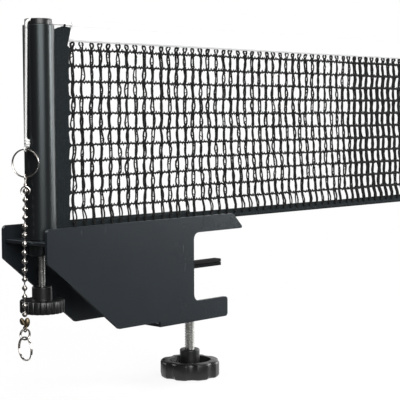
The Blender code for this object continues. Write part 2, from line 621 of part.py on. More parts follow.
def net_mesh(finish):
    """Flat lattice of one solid: every strand is a bar, every mesh an open gap."""
    left, right = POST_X + BAND_END + GAP, POST_X + NET_END
    low, high = HEM_TOP + GAP, TAPE_BOTTOM - GAP
    column = (right - left - STRAND) / COLUMN_GAPS
    across = [left + column * i for i in range(COLUMN_GAPS + 1)]
    rows = [ROW_TOP - ROW_PITCH * i - STRAND / 2 for i in range(ROWS)]
    up = [low] + sorted(rows) + [high - STRAND]
    xs = sorted([x for start in across for x in (start, start + STRAND)])
    zs = sorted([z for start in up for z in (start, start + STRAND)])
    shape = bmesh.new()
    grid = [[shape.verts.new((x, -NET_THICK / 2, z)) for z in zs] for x in xs]
    for i in range(len(xs) - 1):
        for j in range(len(zs) - 1):
            if i % 2 and j % 2:
                continue
            shape.faces.new((grid[i][j], grid[i + 1][j], grid[i + 1][j + 1], grid[i][j + 1]))
    pushed = bmesh.ops.extrude_face_region(shape, geom=list(shape.faces))["geom"]
    moved = [item for item in pushed if isinstance(item, bmesh.types.BMVert)]
    bmesh.ops.translate(shape, vec=(0.0, NET_THICK, 0.0), verts=moved)
    bmesh.ops.recalc_face_normals(shape, faces=shape.faces)
    to_object("net_mesh", shape, finish)


def along_net(section, name, finish):
    """Extrudes a (y, z) section along the net, from the end band to the net's free end."""
    left, right = POST_X + BAND_END + GAP, POST_X + NET_END
    shape = bmesh.new()
    face = shape.faces.new([shape.verts.new((left, y, z)) for y, z in section])
    pushed = bmesh.ops.extrude_face_region(shape, geom=[face])["geom"]
    moved = [item for item in pushed if isinstance(item, bmesh.types.BMVert)]
    bmesh.ops.translate(shape, vec=(right - left, 0.0, 0.0), verts=moved)
    bmesh.ops.recalc_face_normals(shape, faces=shape.faces)
    return to_object(name, shape, finish)


def bore_along(radius, z, name):
    """Cutter for a cord's way through a hem or tape, as long as the net."""
    left, right = POST_X + BAND_END - CUT_MARGIN, POST_X + NET_END + CUT_MARGIN
    shape = rod(radius, left, right, segments=12)
    lie = Matrix.Translation((0.0, 0.0, z)) @ Matrix.Rotation(math.radians(90), 4, "Y")
    bmesh.ops.transform(shape, matrix=lie, verts=shape.verts)
    return to_object(name, shape)


def hem_section(round_z, radius, flat_z, thick, steps=10):
    """Section of a folded hem: round where the cord lies, flat to its other edge."""
    side = math.asin(thick / 2 / radius)
    up = 1.0 if round_z > flat_z else -1.0
    points = []
    for i in range(steps + 1):
        angle = side + (math.tau - 2 * side) * i / steps
        points.append((radius * math.sin(angle), round_z - up * radius * math.cos(angle)))
    return [(thick / 2, flat_z)] + points + [(-thick / 2, flat_z)]


def net_tape_and_hem(white, black):
    tape = along_net(hem_section(CORD_Z, TAPE_TOP_THICK / 2, TAPE_BOTTOM, TAPE_THICK), "net_top_tape",
                     white)
    combine(tape, bore_along(CORD_R + CORD_SLACK, CORD_Z, "tape_bore_cutter"))
    hem_z = HEM_BOTTOM + HEM_THICK / 2
    hem = along_net(hem_section(hem_z, HEM_THICK / 2, HEM_TOP, TAPE_THICK), "net_bottom_hem", black)
    combine(hem, bore_along(BOTTOM_CORD_R + CORD_SLACK, hem_z, "hem_bore_cutter"))


# ---- cords, knot, rings and chain -----------------------------------------------------------------
def tension_cord(finish):
    """Through the tape, over the cap's groove and down to the post's rim."""
    bend = TAIL_CORD_BEND
    turn = Vector((TAIL_X + bend, TAIL_Y, CORD_OVER_CAP - bend))
    over = [turn + Vector((-bend * math.sin(a), 0.0, bend * math.cos(a)))
            for a in (math.radians(30 * i) for i in range(4))]
    stations = [(POST_X + BAND_END + 0.002, 0.0, CORD_Z), (POST_X + BAND_END - 0.005, 0.0, CORD_Z + 0.0003),
                (POST_X + CAP_R + 0.005, 0.0, CORD_OVER_CAP - 0.0003),
                (POST_X, TAIL_Y / 2, CORD_OVER_CAP)]
    route = smooth_route(stations + over + [(TAIL_X, TAIL_Y, TAIL_TOP + GAP)], spacing=0.0018)
    cord_along("tension_cord", [(POST_X + NET_END, 0.0, CORD_Z)] + route, CORD_R, finish,
               about=(POST_X, 0.0, POST_TOP))


def net_bottom_cord(finish):
    z = HEM_BOTTOM + HEM_THICK / 2
    left = POST_X + BAND_END + 2 * GAP
    cord_along("net_bottom_cord", [(left, 0.0, z), (POST_X + NET_END, 0.0, z)], BOTTOM_CORD_R, finish,
               about=(left, 0.0, z))


def cord_tail(finish):
    top = Vector((TAIL_X, TAIL_Y, TAIL_TOP))
    low = KNOT_AT + Vector((0.0, 0.0, GAP))
    middle = top.lerp(low, 0.5)
    cord_along("cord_tail", smooth_route([top, middle, low], spacing=0.0045), CORD_R, finish, about=top)


def cord_knot(finish):
    """Knot over the upper ring, with the loop of cord that holds the ring's wire."""
    shape = bmesh.new()
    bmesh.ops.create_uvsphere(shape, u_segments=12, v_segments=8, radius=1.0)
    half = KNOT_HEIGHT / 2
    bmesh.ops.scale(shape, vec=(KNOT_R, KNOT_R, half), verts=shape.verts)
    centre = KNOT_AT - Vector((0.0, 0.0, half))
    bmesh.ops.translate(shape, vec=centre, verts=shape.verts)
    knot = to_object("cord_knot", shape, finish, about=KNOT_AT)
    wire = ring_wire_place(UPPER_RING_AT, UPPER_RING_R, top=True)
    loop = wire_loop(loop_reach(CORD_R), CORD_R, wire, UPPER_RING_TURN + 90.0)
    combine(knot, to_object("knot_loop_guide", loop), "UNION")


def ring_wire_place(centre, outer, top):
    """Middle of a ring's wire, at the ring's top or bottom."""
    reach = outer - RING_WIRE / 2
    return centre + Vector((0.0, 0.0, reach if top else -reach))


def loop_reach(wire_radius):
    """Radius of a loop that goes round a split ring's wire with a gap."""
    return math.hypot(RING_WIRE, RING_STACK) / 2 + GAP + wire_radius


def rings(finish):
    ring = ring_shape(UPPER_RING_R, RING_WIRE, RING_STACK, UPPER_RING_AT, UPPER_RING_TURN, 36)
    to_object("upper_split_ring", ring, finish,
              about=ring_wire_place(UPPER_RING_AT, UPPER_RING_R, top=True))
    small, large = clasp_ring_place(), lower_ring_place()
    ring = ring_shape(CLASP_RING_R, RING_WIRE, RING_STACK, small, CLASP_RING_TURN, 20)
    to_object("clasp_ring", ring, finish, about=ring_wire_place(small, CLASP_RING_R, top=True))
    ring = ring_shape(LOWER_RING_R, RING_WIRE, RING_STACK, large, LOWER_RING_TURN, 36)
    to_object("lower_split_ring", ring, finish, about=ring_wire_place(large, LOWER_RING_R, top=True))


def ball_places():
    """Centres of the balls, from the hook down: a straight line that bows out in the middle."""
    places = []
    for i in range(BALLS):
        t = i / (BALLS - 1)
        places.append(CHAIN_TOP.lerp(CHAIN_END, t) + CHAIN_BOW * 4 * t * (1 - t))
    return places


def clasp_place():
    """Middle of the clasp's top."""
    return CHAIN_END - Vector((0.0, 0.0, BALL_R + GAP))


def clasp_ring_place():
    clasp = clasp_place()
    eye = clasp.z - CLASP_HEIGHT - loop_reach(EYE_WIRE_R)
    return Vector((clasp.x, clasp.y, eye - CLASP_RING_R + RING_WIRE / 2))


def lower_ring_place():
    small = clasp_ring_place()
    top = small.z - CLASP_RING_R + RING_WIRE + RING_NEST + RING_WIRE
    return Vector((small.x, small.y, top - LOWER_RING_R))


def chain_hook(finish):
    """Eye round the upper ring's wire, a short shank, and an open bail round the first ball."""
    wire = ring_wire_place(UPPER_RING_AT, UPPER_RING_R, top=False)
    reach = loop_reach(EYE_WIRE_R)
    hook = to_object("chain_hook", wire_loop(reach, EYE_WIRE_R, wire, UPPER_RING_TURN + 90.0), finish,
                     about=wire)
    bail = wire_loop(BAIL_R, EYE_WIRE_R, CHAIN_TOP, UPPER_RING_TURN + 15.0)
    combine(hook, to_object("bail_guide", bail), "UNION")
    top = Vector((wire.x, wire.y, wire.z - reach))
    low = Vector((CHAIN_TOP.x, CHAIN_TOP.y, CHAIN_TOP.z + BAIL_R))
    shank = rod(0.0009, -EYE_WIRE_R, (top - low).length + EYE_WIRE_R, segments=10)
    turn = (top - low).to_track_quat("Z", "Y").to_matrix().to_4x4()
    bmesh.ops.transform(shank, matrix=Matrix.Translation(low) @ turn, verts=shank.verts)
    combine(hook, to_object("shank_guide", shank), "UNION")
    way = Vector((BAIL_MOUTH / 2, BAIL_MOUTH / 2, BAIL_R + CUT_MARGIN))
    mouth = block(CHAIN_TOP - way, CHAIN_TOP + Vector((way.x, way.y, -BALL_R * 0.5)))
    combine(hook, to_object("bail_mouth_cutter", mouth))


def ball_chain(finish):
    """Balls and the pins between them as one round body whose radius swells at every ball."""
    places = ball_places()
    neck = math.acos(LINK_R / BALL_R)
    stations = []
    for i, place in enumerate(places):
        after = places[min(i + 1, BALLS - 1)] - places[max(i - 1, 0)]
        along = after.normalized()
        for step in range(BALL_BANDS + 1):
            angle = neck * (2 * step / BALL_BANDS - 1)
            stations.append((place + along * BALL_R * math.sin(angle), BALL_R * math.cos(angle)))
    shape = bmesh.new()
    loops = []
    for i, (centre, radius) in enumerate(stations):
        along = (stations[min(i + 1, len(stations) - 1)][0] - stations[max(i - 1, 0)][0]).normalized()
        side = along.cross(Vector((0.0, 1.0, 0.0))).normalized()
        other = along.cross(side)
        loops.append([shape.verts.new(centre + side * radius * math.cos(math.tau * k / BALL_SIDES)
                                      + other * radius * math.sin(math.tau * k / BALL_SIDES))
                      for k in range(BALL_SIDES)])
    for lower, upper in zip(loops, loops[1:]):
        for k in range(BALL_SIDES):
            following = (k + 1) % BALL_SIDES
            shape.faces.new((lower[k], lower[following], upper[following], upper[k]))
    shape.faces.new(loops[0])
    shape.faces.new(loops[-1])
    bmesh.ops.recalc_face_normals(shape, faces=shape.faces)
    to_object("ball_chain", shape, finish,
              about=ring_wire_place(UPPER_RING_AT, UPPER_RING_R, top=False))


def chain_clasp(finish):
    """Folded clasp under the last ball, with an eye round the small ring's wire."""
    top = clasp_place()
    half = Vector((CLASP_WIDTH / 2, CLASP_DEPTH / 2, 0.0))
    shape = block(-half - Vector((0.0, 0.0, CLASP_HEIGHT)), half)
    edges = [e for e in shape.edges]
    bmesh.ops.bevel(shape, geom=edges, offset=0.0007, segments=2, profile=0.5, affect="EDGES",
                    clamp_overlap=True, material=-1)
    turn = Matrix.Rotation(math.radians(CLASP_TURN), 4, "Z")
    bmesh.ops.transform(shape, matrix=Matrix.Translation(top) @ turn, verts=shape.verts)
    clasp = to_object("chain_clasp", shape, finish, about=top)
    wire = ring_wire_place(clasp_ring_place(), CLASP_RING_R, top=True)
    eye = wire_loop(loop_reach(EYE_WIRE_R), EYE_WIRE_R, wire, CLASP_RING_TURN + 90.0)
    combine(clasp, to_object("clasp_eye_guide", eye), "UNION")


def build():
    clear_scene()
    powder = finish_of("dark_powder_coat", (0.045, 0.052, 0.060), 0.45)
    black = finish_of("black_powder_coat", (0.012, 0.012, 0.013), 0.35)
    steel = finish_of("zinc_plated_steel", (0.62, 0.61, 0.58), 0.35, 1.0)
    plastic = finish_of("black_plastic", (0.014, 0.014, 0.015), 0.42)
    rubber = finish_of("black_rubber", (0.02, 0.02, 0.02), 0.8)
    yarn = finish_of("black_net_yarn", (0.015, 0.016, 0.015), 0.9)
    web = finish_of("black_webbing", (0.018, 0.018, 0.020), 0.85)
    white = finish_of("white_tape", (0.85, 0.86, 0.88), 0.8)
    cord = finish_of("white_cord", (0.80, 0.80, 0.78), 0.7)
    nickel = finish_of("nickel_plate", (0.66, 0.64, 0.60), 0.2, 1.0)
    brass = finish_of("worn_brass", (0.45, 0.34, 0.18), 0.35, 1.0)

    bracket_body(powder)
    post_cross_plate(powder)
    height_bush(black)
    upper_jaw(powder, rubber)
    clamp_nut(steel)
    clamp_screw(steel)
    clamp_knob(plastic)
    swivel_foot(steel)
    pressure_bar(black, rubber)
    guide_post(steel)
    height_screw(steel)
    height_knob(plastic)
    post_tube(black)
    post_plug(plastic)
    post_cap(plastic)
    net_end_rod(plastic)
    net_end_band(web)
    net_mesh(yarn)
    net_tape_and_hem(white, web)
    tension_cord(cord)
    net_bottom_cord(cord)
    cord_tail(cord)
    cord_knot(cord)
    rings(nickel)
    chain_hook(nickel)
    ball_chain(nickel)
    chain_clasp(brass)


build()
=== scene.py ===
"""Table tennis net clamp: the looks of its bracket, post, net, cords, chain and rings.

Laid out as a Blender add-on and run as a script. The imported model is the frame: metres, +Z up, the
origin on the clamp screw's axis in the plane of the table's top, +X along the net.
"""

import math
import random

import bmesh
import bpy
from bpy.props import FloatProperty, FloatVectorProperty, IntProperty, PointerProperty
from mathutils import Matrix, Vector, noise


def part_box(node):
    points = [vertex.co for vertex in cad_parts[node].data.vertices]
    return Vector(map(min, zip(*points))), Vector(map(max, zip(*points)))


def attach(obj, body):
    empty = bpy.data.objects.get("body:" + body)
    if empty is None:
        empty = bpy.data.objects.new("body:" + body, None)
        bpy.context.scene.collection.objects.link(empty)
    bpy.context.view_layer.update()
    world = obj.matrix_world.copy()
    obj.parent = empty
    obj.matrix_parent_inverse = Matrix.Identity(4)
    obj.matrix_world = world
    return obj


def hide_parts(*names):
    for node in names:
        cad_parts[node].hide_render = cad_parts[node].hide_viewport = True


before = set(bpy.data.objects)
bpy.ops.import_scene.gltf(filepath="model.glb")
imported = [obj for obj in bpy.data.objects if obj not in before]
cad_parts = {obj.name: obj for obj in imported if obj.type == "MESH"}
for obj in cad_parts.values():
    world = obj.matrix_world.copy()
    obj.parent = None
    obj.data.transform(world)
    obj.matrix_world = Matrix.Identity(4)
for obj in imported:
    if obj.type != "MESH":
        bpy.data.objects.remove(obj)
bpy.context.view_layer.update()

bl_info = {
    "name": "Table tennis net clamp",
    "version": (1, 0, 0),
    "blender": (4, 5, 0),
    "location": "View3D > Sidebar > Net clamp",
    "description": "Builds the clamp's bracket, post, net, cords, chain and rings round its CAD model",
    "category": "Add Mesh",
}


# ---- places, in metres: first those that the frame's boxes give ------------------------------------
def middle(node):
    """Middle of a CAD node's box."""
    low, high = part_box(node)
    return (low + high) / 2


def reach(node):
    """Half the height of a CAD node's box: the outer radius of an upright ring."""
    low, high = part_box(node)
    return (high.z - low.z) / 2


POST_X = middle("post_tube").x
POST_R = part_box("post_tube")[1].x - POST_X
NET_START, NET_END = [corner.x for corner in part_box("net_top_tape")]
TAPE_LOW, TAPE_TOP = [corner.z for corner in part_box("net_top_tape")]
HEM_LOW, HEM_TOP = [corner.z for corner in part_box("net_bottom_hem")]
HEM_CORD_Z = middle("net_bottom_cord").z
ROD_X = middle("net_end_rod").x
ROD_LOW, ROD_TOP = [corner.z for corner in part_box("net_end_rod")]
BAND_LEFT = POST_X + POST_R - 0.0028        # inside the post's slot
BAND_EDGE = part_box("net_end_band")[1].x
UPPER_RING, CLASP_RING = middle("upper_split_ring"), middle("clasp_ring")

# Places that the CAD source sets, repeated here.
CORD_Z = 0.1507                             # the tension cord inside the tape
ROW_TOP, ROW_PITCH, ROWS = 0.1334, 0.01107, 11
COLUMN_START, COLUMN_PITCH = -0.11444, 0.00854
BAND_ROOF = ((-0.1302, 0.1463), (-0.1227, 0.1495), (BAND_EDGE, 0.1486))     # (x, z) of its top edge
TAIL_TOP = Vector((-0.155763, -0.0018, 0.1463))
KNOT_TOP = Vector((-0.1576, -0.0018, 0.0732))
KNOT_HEIGHT = 0.0072
BALLS, BALL_R = 15, 0.0019
CHAIN_TOP = Vector((-0.1587, -0.0021, 0.0371))          # middle of the first ball
CHAIN_END = Vector((-0.1617, -0.0033, -0.04634))        # middle of the last ball
CHAIN_BOW = Vector((-0.0006, -0.0003, 0.0))             # how far the chain bows half way
CLASP_TOP = Vector((-0.1617, -0.0033, -0.04854))
RING_WIRE = 0.0005                          # from a ring's outside to the middle of its wire
EYE_R, BAIL_R = 0.00183, 0.0030             # to the middle of the wire of the eyes and of the bail
UPPER_RING_TURN, CLASP_RING_TURN, LOWER_RING_TURN = -60.0, -7.0, -96.0      # degrees about Z
CLASP_TURN = BAIL_TURN = -45.0

# Details that only this script has.
UP = Vector((0.0, 0.0, 1.0))
SLANT = 0.25                                # of the tape's sewn end: towards the post for each metre down
BOTTOM_CORD_R = 0.00075
THREAD_TIP = 0.0006                         # chamfer at a screw's upper end
FIRST_TIGHT, LAST_LOOSE = 38.5, 35.5        # columns between which the net passes from loose to tight
CELL_STEPS = 6                              # points of an upright yarn in each mesh
TEETH = 6                                   # points of a level yarn in each mesh

# The stage: the camera is fitted to the photograph, and the lamps to its highlights.
CAMERA_PLACE = (-0.66643, -0.65944, 0.08585)
CAMERA_AZIMUTH, CAMERA_ELEVATION, CAMERA_ROLL = -45.83, 3.86, -0.32         # degrees
CAMERA_LENS, CAMERA_SENSOR = 109.93, 36.0                                   # millimetres
FLOOR_Z, FLOOR_R = -0.1143, 0.9
BACKDROP = (0.985, 0.174, 0.0)              # level direction of the white backdrop, for reflections
LAMPS = (                                   # name, place, target, width and height, brightness
    ("key", (-0.72, -1.37, 0.72), (-0.1, 0.0, 0.03), (1.1, 1.4), 6.6),
    ("top", (-0.1, -0.1, 1.1), (-0.1, 0.0, 0.0), (0.6, 0.6), 9.0),
    ("side", (0.95, -0.75, 0.31), (-0.03, 0.0, 0.0), (0.30, 0.55), 18.0),
    ("back", (-0.45, 1.5, 0.8), (-0.05, 0.0, 0.0), (1.0, 1.0), 2.2),
    ("rim", (1.25, -0.16, 0.25), (-0.1, 0.0, 0.03), (0.7, 0.8), 3.0),
)


# ---- sizes and colours that a user would change ----------------------------------------------------
def size(name, description, default):
    """Property of a length in metres."""
    return FloatProperty(name=name, description=description, default=default, unit="LENGTH",
                         precision=5, min=0.0)


def colour(name, description, default):
    """Property of a colour in linear values."""
    return FloatVectorProperty(name=name, description=description, default=default, subtype="COLOR",
                               size=3, min=0.0, max=1.0)


class NetClampSizes(bpy.types.PropertyGroup):
    """Sizes of the details that the CAD model leaves plain."""

    sheet_edge: size("Sheet edge", "Rounding of the folded sheet's edges", 0.00045)
    turned_edge: size("Turned edge", "Rounding of turned and moulded edges", 0.0003)
    clamp_pitch: size("Clamp screw pitch", "Rise of the clamp screw's thread in one turn", 0.00125)
    height_pitch: size("Height screw pitch", "Rise of the height screw's thread in one turn", 0.0008)
    yarn: size("Yarn radius", "Half the thickness of the net's upright yarns", 0.00062)
    row_yarn: size("Row yarn radius", "Half the thickness of the net's level yarns", 0.00068)
    bow: size("Yarn bow", "How far two paired yarns bow apart in a mesh", 0.00085)
    cloth: size("Cloth thickness", "Thickness of the tape's and the hem's cloth", 0.0005)
    cord: size("Cord radius", "Half the thickness of the tension cord", 0.00085)
    wire: size("Ring wire", "Half the thickness of the split rings' wire", 0.00044)
    stitch: size("Stitch length", "Length of one stitch along the tape", 0.0030)
    columns: IntProperty(name="Net columns", description="Paired upright yarns along the net",
                         default=47, min=2, max=80)


class NetClampColours(bpy.types.PropertyGroup):
    """Colours of the finishes, in linear values."""

    powder: colour("Dark powder coat", "Bracket, cross plate and jaw plate", (0.0145, 0.0175, 0.0215))
    black_powder: colour("Black powder coat", "Post, bush and pressure plate", (0.008, 0.009, 0.010))
    zinc: colour("Zinc plate", "Screws, nut, foot and guide", (0.74, 0.74, 0.72))
    plastic: colour("Black plastic", "Knobs, cap, plug and net rod", (0.008, 0.008, 0.009))
    # Darker than the black rubber itself, for the front plate's shadow on the pressure bar: partly its own
    # colour, partly painted shade.
    rubber: colour("Black rubber", "Both jaw rubbers", (0.0045, 0.0045, 0.005))
    yarn: colour("Net yarn", "Knitted yarns of the net", (0.010, 0.010, 0.010))
    webbing: colour("Black webbing", "End band and bottom hem", (0.010, 0.014, 0.016))
    tape: colour("White tape", "Tape along the net's top", (0.93, 0.93, 0.93))
    cord: colour("White cord", "Tension cord, its tail and knot", (0.86, 0.86, 0.85))
    nickel: colour("Nickel plate", "Rings, hook and ball chain", (0.54, 0.51, 0.48))
    brass: colour("Worn brass", "Clasp under the ball chain", (0.19, 0.15, 0.095))


# ---- shader nodes as Python expressions ------------------------------------------------------------
class Link:
    """The output of a shader node. Python's operators on it add Math nodes."""

    def __init__(self, recipe, socket):
        self.recipe = recipe
        self.socket = socket

    def __add__(self, other):
        return self.recipe.maths("ADD", self, other)

    def __sub__(self, other):
        return self.recipe.maths("SUBTRACT", self, other)

    def __rsub__(self, other):
        return self.recipe.maths("SUBTRACT", other, self)

    def __mul__(self, other):
        return self.recipe.maths("MULTIPLY", self, other)

    __radd__ = __add__
    __rmul__ = __mul__

    def sine(self):
        return self.recipe.maths("SINE", self)

    def absolute(self):
        return self.recipe.maths("ABSOLUTE", self)

    def above(self, threshold, width):
        """0 under the threshold and 1 over it, softly over that width on either side."""
        return self.recipe.node("MapRange", {"interpolation_type": "SMOOTHSTEP"},
                                {"Value": self, "From Min": threshold - width,
                                 "From Max": threshold + width})


class Recipe:
    """A node tree that expressions add their nodes to."""

    def __init__(self, tree):
        self.tree = tree

    def feed(self, socket, value):
        """Links a node's output to a socket, or sets the socket's own number or colour."""
        if isinstance(value, Link):
            self.tree.links.new(value.socket, socket)
        elif hasattr(value, "__len__") and len(value) == 3 and len(socket.default_value) == 4:
            socket.default_value = (*value, 1.0)
        else:
            socket.default_value = value

    def node(self, kind, settings=None, values=None, output=0):
        """Any node: its settings first, then the values or links of its sockets."""
        made = self.tree.nodes.new("ShaderNode" + kind)
        for name, value in (settings or {}).items():
            setattr(made, name, value)
        for name, value in (values or {}).items():
            self.feed(made.inputs[name], value)
        return Link(self, made.outputs[output])

    def ray(self, kind):
        """1 for rays of that kind, such as Camera or Glossy."""
        return self.node("LightPath", output="Is " + kind + " Ray")

    def larger(self, *values):
        """The largest of several values."""
        most = values[0]
        for value in values[1:]:
            most = self.maths("MAXIMUM", most, value)
        return most

    def blend(self, share, first, second):
        """Two shaders mixed by share."""
        return self.node("MixShader", {}, {0: share, 1: first, 2: second})

    def behind(self, place):
        """1 towards the white backdrop behind the clamp, 0 in the dim room, by a level direction."""
        direction = self.vectors("NORMALIZE", self.vectors("MULTIPLY", place, (1.0, 1.0, 0.0)))
        return self.vectors("DOT_PRODUCT", direction, BACKDROP, output="Value").above(0.82, 0.08)

    def maths(self, operation, *values):
        """A Math node on numbers."""
        return self.node("Math", {"operation": operation}, dict(enumerate(values)))

    def vectors(self, operation, *values, output=0):
        """A Vector Math node on places, directions or colours."""
        return self.node("VectorMath", {"operation": operation}, dict(enumerate(values)), output)

    def object_place(self, scale=(1.0, 1.0, 1.0)):
        """Place in the frame, in metres, stretched by scale."""
        return self.node("Mapping", {}, {"Vector": self.node("TexCoord", output="Object"),
                                         "Scale": scale})

    def surface_place(self):
        """Millimetres along a cord and turns round it, from its own UV map."""
        return self.split(self.node("TexCoord", output="UV"))[:2]

    def split(self, place):
        """The three parts of a place."""
        made = self.tree.nodes.new("ShaderNodeSeparateXYZ")
        self.feed(made.inputs[0], place)
        return [Link(self, made.outputs[i]) for i in range(3)]

    def noise(self, scale, detail=2.0, place=None):
        """Cloudy noise between 0 and 1."""
        return self.node("TexNoise", {}, {"Vector": place or self.object_place(), "Scale": scale,
                                          "Detail": detail})

    def cells(self, scale):
        """Distance from the nearest of scattered points, for grains and specks."""
        return self.node("TexVoronoi", {}, {"Vector": self.object_place(), "Scale": scale})

    def mix(self, share, first, second):
        """Two colours mixed by share. The node's colour sockets are 6, 7 and 2."""
        return self.node("Mix", {"data_type": "RGBA"}, {0: share, 6: first, 7: second}, output=2)


class Finish(Recipe):
    """One material: a Principled shader and the nodes that feed it."""

    def __init__(self, name, roughness=0.5, metallic=0.0, **constants):
        self.material = bpy.data.materials.new(name)
        self.material.use_nodes = True
        super().__init__(self.material.node_tree)
        self.shader = self.tree.nodes["Principled BSDF"]
        self.feed(self.shader.inputs["Roughness"], roughness)
        self.feed(self.shader.inputs["Metallic"], metallic)
        for name, value in constants.items():
            self.feed(self.shader.inputs[name.replace("_", " ")], value)

    def edges(self, width):
        """How near an edge the surface is, from 0 on a flat place."""
        rounded = self.node("Bevel", {"samples": 4}, {"Radius": width})
        normal = self.node("NewGeometry", output="Normal")
        return 1.0 - self.vectors("DOT_PRODUCT", rounded, normal, output="Value")

    def bump(self, height, distance, strength):
        """Raises the surface by height, from 0 to 1, times the distance."""
        self.feed(self.shader.inputs["Normal"],
                  self.node("Bump", {}, {"Height": height, "Distance": distance, "Strength": strength}))

    def colour(self, value):
        self.feed(self.shader.inputs["Base Color"], value)

    def roughness(self, value):
        self.feed(self.shader.inputs["Roughness"], value)


def shade(base, factor):
    """A darker or lighter colour."""
    return tuple(min(1.0, part * factor) for part in base)


def powder_coat(name, base, roughness, worn=0.5, gloss=0.5):
    """Sprayed paint: fine orange peel, small colour change, a little wear along the edges."""
    finish = Finish(name, Specular_IOR_Level=gloss, Specular_Tint=(0.86, 0.98, 1.0))
    peel = finish.noise(900.0, detail=3.0)
    grain = finish.noise(3800.0, detail=1.0)
    cloud = finish.noise(45.0, detail=3.0)
    rubbed = finish.edges(0.0007).above(0.16, 0.12) * finish.noise(260.0, detail=4.0).above(0.55, 0.12)
    paint = finish.mix(cloud.above(0.5, 0.35), shade(base, 0.95), shade(base, 1.06))
    specks = finish.cells(700.0).above(0.12, 0.05)
    paint = finish.mix((1.0 - specks) * 0.25, paint, shade(base, 1.8))
    finish.colour(finish.mix(rubbed * worn, paint, shade(base, 3.4)))
    streaks = finish.noise(90.0, detail=4.0, place=finish.object_place(scale=(1.0, 1.0, 0.25)))
    finish.roughness(roughness - 0.01 + streaks * 0.02)
    finish.bump(peel * 0.7 + grain * 0.3, 0.00006, 0.15)
    return finish.material


def plated_steel(name, base, roughness, tarnish):
    """Bright plating: fine scratches, dull patches and a little tarnish."""
    finish = Finish(name, metallic=1.0)
    patches = finish.noise(220.0, detail=4.0).above(0.52, 0.2)
    fine = finish.noise(2400.0, detail=2.0, place=finish.object_place(scale=(1.0, 1.0, 0.12)))
    finish.colour(finish.mix(patches * 0.55, base, tarnish))
    finish.roughness(roughness + patches * 0.14 + fine * 0.10)
    finish.bump(fine, 0.00002, 0.4)
    return finish.material


def moulded_plastic(name, base, roughness):
    """Moulded plastic: fine spark-eroded grain, softly rubbed along its edges."""
    finish = Finish(name)
    grain = finish.noise(3000.0, detail=2.0)
    handled = finish.noise(120.0, detail=3.0).above(0.5, 0.3)
    rubbed = finish.edges(0.0006).above(0.12, 0.12)
    finish.colour(finish.mix(rubbed * 0.5, finish.mix(handled, shade(base, 0.85), shade(base, 1.2)),
                             shade(base, 2.6)))
    finish.roughness(roughness + 0.10 * (1.0 - handled) - 0.05 * rubbed)
    finish.bump(grain, 0.00005, 0.4)
    return finish.material


def soft_rubber(name, base):
    """Matt rubber with a fine cast grain and a bloom in places."""
    finish = Finish(name, Specular_IOR_Level=0.15)
    grain = finish.cells(1900.0)
    bloom = finish.noise(160.0, detail=4.0).above(0.52, 0.22)
    finish.colour(finish.mix(bloom, base, shade(base, 1.9)))
    finish.roughness(0.68 + 0.14 * bloom)
    finish.bump(grain, 0.0001, 0.6)
    return finish.material


def net_yarn(name, base):
    """Twisted yarn: plies that wind round it, and loose fibres."""
    finish = Finish(name, roughness=0.85, Specular_IOR_Level=0.1, Sheen_Weight=0.03,
                    Sheen_Roughness=0.5)
    along, turn = finish.surface_place()
    plies = (along * 3.2 + turn * math.tau * 2.0).sine() * 0.5 + 0.5
    fibres = finish.noise(2600.0, detail=3.0)
    # The colour follows the plies that the bump uses: painted shade in the grooves between plies, painted
    # highlight on their crowns, with random fibres.
    finish.colour(finish.mix(plies * 0.65 + fibres * 0.35, shade(base, 0.45), shade(base, 1.9)))
    finish.roughness(0.78 + 0.16 * fibres)
    finish.bump(plies * 0.7 + fibres * 0.3, 0.00018, 0.8)
    return finish.material


def woven_cloth(name, base, warp, weft, depth, contrast, roughness):
    """Plain weave in the net's plane: warp threads upright, weft threads level, each of that pitch."""
    finish = Finish(name, roughness=roughness, Specular_IOR_Level=0.1, Sheen_Weight=0.03,
                    Sheen_Roughness=0.45)
    x, y, z = finish.split(finish.object_place())
    across = (x + y * 0.7) * (math.tau / warp)
    up = z * (math.tau / weft)
    sway = finish.noise(900.0, detail=2.0) * 2.4
    ribs = (across * 0.5 + sway).sine().absolute()
    rows = (up * 0.5 + sway).sine().absolute()
    over = (across * 0.5 + up * 0.5).sine().above(0.0, 0.3)
    weave = ribs * over + rows * (1.0 - over)
    fuzz = finish.noise(3500.0, detail=3.0)
    soil = finish.noise(70.0, detail=4.0).above(0.5, 0.3)
    # The thread colour follows the weave that the bump uses: painted shade in the hollows between threads,
    # painted highlight on their crowns.
    thread = finish.mix(weave, shade(base, 1.0 - contrast), shade(base, 1.0 + contrast * 0.8))
    thread = finish.mix(fuzz * 0.5, thread, shade(base, 1.0 - contrast * 0.4))
    mottle = finish.noise(650.0, detail=2.0).above(0.5, 0.12)
    thread = finish.mix(mottle * contrast * 0.6, thread, shade(base, 1.0 - contrast * 0.55))
    finish.colour(finish.mix(soil * 0.5, thread, shade(base, 0.93)))
    finish.roughness(roughness - 0.05 + 0.1 * fuzz)
    finish.bump(weave * 0.8 + fuzz * 0.2, depth, 0.8)
    return finish.material


def braided_cord(name, base):
    """Round braid: two sets of strands that cross, from the cord's own UV map."""
    finish = Finish(name, roughness=0.72, Specular_IOR_Level=0.3, Sheen_Weight=0.1,
                    Sheen_Roughness=0.4)
    along, turn = finish.surface_place()
    left = (along * 2.3 + turn * math.tau * 3.0).sine() * 0.5 + 0.5
    right = (along * 2.3 - turn * math.tau * 3.0).sine() * 0.5 + 0.5
    strands = finish.larger(left, right)
    fibres = finish.noise(3200.0, detail=3.0)
    soil = finish.noise(300.0, detail=3.0).above(0.5, 0.25)
    # The colour follows the strands that the bump uses: painted shade between the strands. The soil is
    # real dirt.
    finish.colour(finish.mix(strands, shade(base, 0.80), finish.mix(soil * 0.4, base, shade(base, 0.92))))
    finish.roughness(0.66 + 0.12 * fibres)
    finish.bump(strands * 0.8 + fibres * 0.2, 0.00010, 0.7)
    return finish.material


